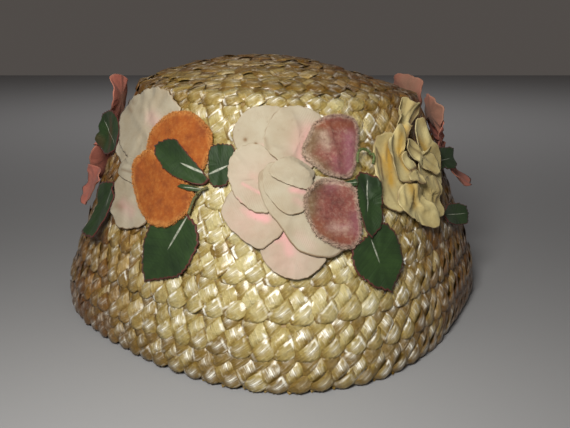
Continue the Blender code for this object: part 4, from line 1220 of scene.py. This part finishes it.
def vein_frame(piece, u, v):
    """Where each point of a leaf lies along its vein, as a share, and how far off it, in vein widths."""
    start, end = VEIN_ENDS
    u0, v0, u1, v1, width = start * piece["length"], 0.0, end * piece["length"], 0.0, VEIN_WIDTH
    for kind, *ends, reach, _ in MARKS.get(piece["name"], ()):
        if kind == "vein":
            u0, v0, u1, v1 = (end / 1000 for end in ends)
            width = reach / 1000
    du, dv = u1 - u0, v1 - v0
    length = math.hypot(du, dv)
    along = ((u - u0) * du + (v - v0) * dv) / length**2
    away = ((v - v0) * du - (u - u0) * dv) / length / width
    return along, away


def eased_up(least):
    """Heights that are nowhere under the least ones, and smooth from ring to ring and all round."""
    extra = least.copy()
    for _ in range(EASE_ROUNDS):
        beside = (np.roll(extra, 1, axis=1) + np.roll(extra, -1, axis=1)) / 2
        inner = np.vstack([np.full((1, extra.shape[1]), extra[1].mean()), extra[:-1]])
        outer = np.vstack([extra[1:], 2 * extra[-1:] - extra[-2:-1]])
        eased = EASE_BESIDE * beside + EASE_ACROSS * (inner + outer) / 2 + EASE_KEPT * extra
        extra = np.maximum(least, eased)
        extra[0] = max(extra[0].max(), least[0].max())
    return extra


def finer(field):
    """Values between those of rings of points, for twice the spokes and four times the rings."""
    rings, spokes = field.shape[0] - 1, field.shape[1]
    across = np.linspace(0, rings, rings * 4)
    around = np.linspace(0, spokes, spokes * 2, endpoint=False)
    low, near = across.astype(int).clip(0, rings - 1), around.astype(int)
    up, past = (across - low)[:, None], (around - near)[None, :]
    first = field[low][:, near] * (1 - up) + field[low + 1][:, near] * up
    far = (near + 1) % spokes
    second = field[low][:, far] * (1 - up) + field[low + 1][:, far] * up
    return (first * (1 - past) + second * past).ravel()


def cut_and_set(piece, relief, seed):
    """Rings of points of one cut piece, resting on the straw and on the cloth under it."""
    thickness, cupped, domed, folded, creased, _, _, spokes, rings = CLOTHS[piece["kind"]]
    random = np.random.default_rng(seed)
    angle = np.linspace(0, 2 * math.pi, spokes, endpoint=False)
    middle_u, middle_v, edge_u, edge_v = outline(piece, angle, seed)
    share = np.linspace(0, 1, rings + 1)[:, None] ** RING_POWER
    u = middle_u + share * edge_u
    v = middle_v + share * edge_v
    turn = math.radians(piece["turn"])
    start = np.interp(piece["height"], SIDE["height"], SIDE["along"])
    along = start + u * math.cos(turn) - v * math.sin(turn)
    radius = np.interp(along, SIDE["along"], SIDE["radius"])
    azimuth = piece["azimuth"] + np.degrees((u * math.sin(turn) + v * math.cos(turn)) / radius)
    ruffled = (1 + np.cos(RUFFLES * angle + RUFFLE_TURN)) / 2
    rise = piece["lift"] * np.clip(u / piece["length"], 0, 1) ** 2 + piece["ruffle"] * share**2 * ruffled
    rise = rise + cupped * share**3 + domed * (1 - share**DOME_POWER)
    rise = rise + folded * (np.abs(v) / (piece["width"] / 2)) ** FOLD_POWER
    for folds in CREASES:
        depth, moved = random.normal(0, 1), random.uniform(0, 6)
        rise = rise + creased * depth * share**2 * np.cos(folds * angle + moved)
    rise = rise + marked(piece, "fold", u, v) / 1000
    rise = rise - min(rise.min(), 0)
    needed = relief.read(azimuth, along) + LAYER_GAP
    off = SEAT + rise + eased_up(np.maximum(needed - SEAT - rise, 0))
    relief.write(finer(azimuth), finer(along), finer(off) + thickness)
    # The dark edge: soil, and painted shade where the edge hangs down
    downward = -(edge_u * math.cos(turn) - edge_v * math.sin(turn)) / np.hypot(edge_u, edge_v)
    lumps = sum(random.normal(0, SOIL_AND_SHADE_LUMP) * np.cos(k * angle + random.uniform(0, 6)) for k in SOIL_AND_SHADE_FOLDS)
    vein_along, vein_away = vein_frame(piece, u, v)
    fields = {what: marked(piece, what, u, v) for what in ("tint", "stain", "pale", "rust")}
    fields["share"] = share * np.ones_like(u)
    fields["soil_and_shade"] = np.clip(SOIL_AND_SHADE + DOWNWARD_SOIL_AND_SHADE * downward + lumps, 0, 1) * np.ones_like(u)
    fields["vein_along"], fields["vein_away"] = vein_along, vein_away
    flat = np.stack([u / piece["length"], v / piece["width"] + 0.5], axis=-1)
    levels = (off, off + thickness)
    return {"azimuth": azimuth, "along": along, "levels": levels, "flat": flat, "fields": fields}


def pile_tree():
    """A node tree that stands short blades of pile all over a velvet piece, longer ones at its edge."""
    tree, given = new_tree("velvet_pile", (
        ("Geometry", "Geometry"), ("Blades per Square Millimetre", "Float"), ("Blade Length", "Float"),
        ("Blade Width", "Float"), ("Seed", "Int"), ("Velvet", "Material")))
    blade = {"Vertices": 3, "Radius Top": 0.0, "Radius Bottom": given["Blade Width"],
             "Depth": given["Blade Length"]}
    blade = add(tree, "GeometryNodeMeshCone", {"fill_type": "NONE"}, **blade)
    edge = Number(tree, add(tree, "FunctionNodeCompare", {"data_type": "FLOAT", "operation": "GREATER_THAN"},
                            i0=named(tree, "share", "FLOAT"), i1=EDGE_START).outputs[0])
    density = Number(tree, given["Blades per Square Millimetre"]) * SQUARE_MILLIMETRES
    density = density * (edge * EDGE_PILE + PLAIN_PILE)
    spots = add(tree, "GeometryNodeDistributePointsOnFaces", {"distribute_method": "RANDOM"},
                Mesh=given["Geometry"], Density=density, Seed=given["Seed"])
    least, most = (-BLADE_LEAN, -BLADE_LEAN, 0.0), (BLADE_LEAN, BLADE_LEAN, FULL_TURN)
    lean = add(tree, "FunctionNodeRandomValue", {"data_type": "FLOAT_VECTOR"}, i0=least, i1=most,
               Seed=given["Seed"])
    leaning = add(tree, "FunctionNodeRotateRotation", {"rotation_space": "LOCAL"},
                  i0=spots.outputs["Rotation"], i1=add(tree, "FunctionNodeEulerToRotation", i0=lean))
    shortest, longest = BLADE_RANGE
    tall = add(tree, "FunctionNodeRandomValue", {"data_type": "FLOAT"}, i2=shortest, i3=longest,
               Seed=given["Seed"])
    tall = Number(tree, tall.outputs[1]) * (edge * (1 - PLAIN_LENGTH) + PLAIN_LENGTH)
    copies = add(tree, "GeometryNodeInstanceOnPoints", Points=spots.outputs["Points"],
                 Instance=blade.outputs["Mesh"], Rotation=leaning,
                 Scale=add(tree, "ShaderNodeCombineXYZ", X=1.0, Y=1.0, Z=tall))
    joined = tree.nodes.new("GeometryNodeJoinGeometry")
    tree.links.new(copies.outputs[0], joined.inputs[0])
    tree.links.new(given["Geometry"], joined.inputs[0])
    handed_out(tree, add(tree, "GeometryNodeRealizeInstances", Geometry=joined), given["Velvet"])
    return tree


def sheet_mesh(name, cut, kept):
    """A closed thin sheet from rings of points, with its own flat coordinates and marks."""
    rings, spokes = cut["azimuth"].shape

    def in_a_row(field):
        """The values of rings, the middle one once."""
        return np.concatenate([field[0, :1], field[1:].reshape(-1, *field.shape[2:])])

    layers = [place(SIDE, cut["azimuth"], cut["along"], level) for level in cut["levels"]]
    verts = np.concatenate([in_a_row(layer) for layer in layers])
    per_layer = 1 + (rings - 1) * spokes
    faces = []
    for layer in (0, 1):
        base = layer * per_layer
        for s in range(spokes):
            t = (s + 1) % spokes
            order = [(base, base + 1 + s, base + 1 + t)]
            for r in range(rings - 2):
                a, b = base + 1 + r * spokes, base + 1 + (r + 1) * spokes
                order.append((a + s, b + s, b + t, a + t))
            faces += [tuple(reversed(face)) for face in order] if layer == 1 else order
    rim = 1 + (rings - 2) * spokes
    for s in range(spokes):
        t = (s + 1) % spokes
        faces.append((rim + s, per_layer + rim + s, per_layer + rim + t, rim + t))
    mesh = bpy.data.meshes.new(name)
    mesh.from_pydata(verts.tolist(), [], faces)
    bm = bmesh.new()
    bm.from_mesh(mesh)
    closed(bm, mesh)
    corner = np.zeros(len(mesh.loops), int)
    mesh.loops.foreach_get("vertex_index", corner)
    flat = in_a_row(cut["flat"])
    mesh.uv_layers.new(name="cut").data.foreach_set("uv", np.concatenate([flat, flat])[corner].ravel())
    for key in kept:
        values = np.tile(in_a_row(cut["fields"][key]), 2)
        mesh.attributes.new(key, "FLOAT", "POINT").data.foreach_set("value", values)
    return mesh


def lay_garland(finishes):
    """Lays the cut pieces over one another, each on what is there already."""
    relief = Relief()
    pile = pile_tree()
    for index, row in enumerate(PIECES):
        piece = dict(zip(COLUMNS, row))
        name, kind = piece["name"], piece["kind"]
        cut = cut_and_set(piece, relief, FIRST_CUT_SEED + index)
        mesh = sheet_mesh(name, cut, KEPT_FIELDS[kind])
        if kind in PILES:
            count, length, width = PILES[kind]
            mesh = grown(name, mesh, pile, {
                "Blades per Square Millimetre": count, "Blade Length": length, "Blade Width": width,
                "Seed": index, "Velvet": finishes[kind]})
        finish_piece(new_object(name + "_cloth", mesh, finishes[kind]), SLOTS[kind], name)
    return relief


def eased_path(points, count):
    """Evenly spaced places on a curve through the points."""
    points = np.array(points, float)
    share = np.linspace(0, len(points) - 1, count)
    low = np.clip(share.astype(int), 0, len(points) - 2)
    longer = np.vstack([2 * points[0] - points[1], points, 2 * points[-1] - points[-2]])
    return curve(*(longer[low + shift] for shift in range(4)), (share - low)[:, None])


def lay_stem(name, thickness, points, relief, mat):
    """A wire wound in paper strip, whose turns stand up a little."""
    path = eased_path(points, STEM_STEPS)
    azimuth = path[:, 0]
    along = np.interp(path[:, 1], SIDE["height"], SIDE["along"])
    off = np.maximum(relief.read(azimuth, along), SEAT) + thickness
    points = place(SIDE, azimuth, along, (off.max() + off) / 2)
    bm = bmesh.new()
    rings = []
    for i, point in enumerate(points):
        ahead = Vector(points[min(i + 1, STEM_STEPS - 1)] - points[max(i - 1, 0)]).normalized()
        first = ahead.orthogonal().normalized()
        second = ahead.cross(first)
        ring = []
        for angle in (2 * math.pi * k / STEM_SIDES for k in range(STEM_SIDES)):
            thick = thickness * (1 - WINDING + WINDING * math.cos(angle + i * WINDING_TURN))
            outward = math.cos(angle) * first + math.sin(angle) * second
            ring.append(bm.verts.new(Vector(point) + thick * outward))
        rings.append(ring)
    for here, beside in zip(rings, rings[1:]):
        for k in range(STEM_SIDES):
            m = (k + 1) % STEM_SIDES
            bm.faces.new((here[k], here[m], beside[m], beside[k]))
    bm.faces.new(rings[0])
    bm.faces.new(rings[-1])
    mesh = closed(bm, bpy.data.meshes.new(name))
    finish_piece(new_object(name + "_wound", mesh, mat), "wrapped_wire", name)


# Floor, lights and camera

def make_stage():
    bpy.ops.mesh.primitive_plane_add(size=FLOOR_SIZE, location=(0, 0, 0))
    floor = bpy.context.object
    floor.name = "floor"
    floor.data.materials.append(new_material("pale_floor", roughness=0.9, base_color=FLOOR_COLOUR)[0])
    world = bpy.data.worlds.new("studio")
    world.use_nodes = True
    background = world.node_tree.nodes["Background"]
    connect(world.node_tree, WORLD_COLOUR, background.inputs["Color"])
    connect(world.node_tree, WORLD_STRENGTH, background.inputs["Strength"])
    bpy.context.scene.world = world
    bpy.context.scene.view_settings.view_transform = "Standard"


def add_lamp(name, location, target, size, power, colour):
    data = bpy.data.lights.new(name, "AREA")
    data.shape = "SQUARE"
    data.size = size
    data.energy = power
    data.color = colour
    lamp = bpy.data.objects.new(name, data)
    lamp.location = location
    lamp.rotation_euler = (Vector(target) - Vector(location)).to_track_quat("-Z", "Y").to_euler()
    bpy.context.scene.collection.objects.link(lamp)


def add_camera():
    data = bpy.data.cameras.new("photo_view")
    data.sensor_width = SENSOR_WIDTH
    data.lens = FOCAL_PIXELS / PHOTO_WIDTH * SENSOR_WIDTH
    data.clip_start = 0.01
    camera = bpy.data.objects.new("photo_view", data)
    camera.location = CAMERA_PLACE
    camera.rotation_euler = (math.pi / 2 - CAMERA_PITCH, 0, 0)
    bpy.context.scene.collection.objects.link(camera)
    bpy.context.scene.camera = camera


def cloth_finish(kind):
    """The material of one kind of cloth."""
    if kind in COTTONS:
        return petal_cloth(SLOTS[kind], *COTTONS[kind])
    if kind in VELVETS:
        return velvet(SLOTS[kind], *VELVETS[kind])
    return leaf_cloth(SLOTS[kind])


def build():
    straw = glossy_straw()
    wall = straw_wall()
    tree = plait_tree()
    end = HAT["along"][-1]
    rows = int(end // ROW) + 1
    for part, node, first, last, outside_seed, inside_seed in (
            ("brim", "brim", 0, BRIM_ROWS, 11, 31), ("side", "crown_side", BRIM_ROWS, SIDE_ROWS, 12, 32),
            ("tip", "crown_tip", SIDE_ROWS, rows, 13, 33)):
        make_plait(part + "_plait", node, first, last, tree, straw, True, outside_seed)
        make_plait(part + "_plait_inside", node, first, last, tree, straw, False, inside_seed)
    for name, low, high in (("brim_wall", WALL_START, BRIM_ROWS * ROW),
                            ("side_wall", BRIM_ROWS * ROW, SIDE_ROWS * ROW),
                            ("tip_wall", SIDE_ROWS * ROW, end)):
        make_wall(name, low, high, wall)
    relief = lay_garland({kind: cloth_finish(kind) for kind in CLOTHS})
    for name, thickness, brown, *points in STEMS:
        lay_stem(name, thickness, points, relief, wound_paper(name + "_paper", brown))
    make_stage()
    for lamp in LAMPS:
        add_lamp(*lamp)
    add_camera()


build()
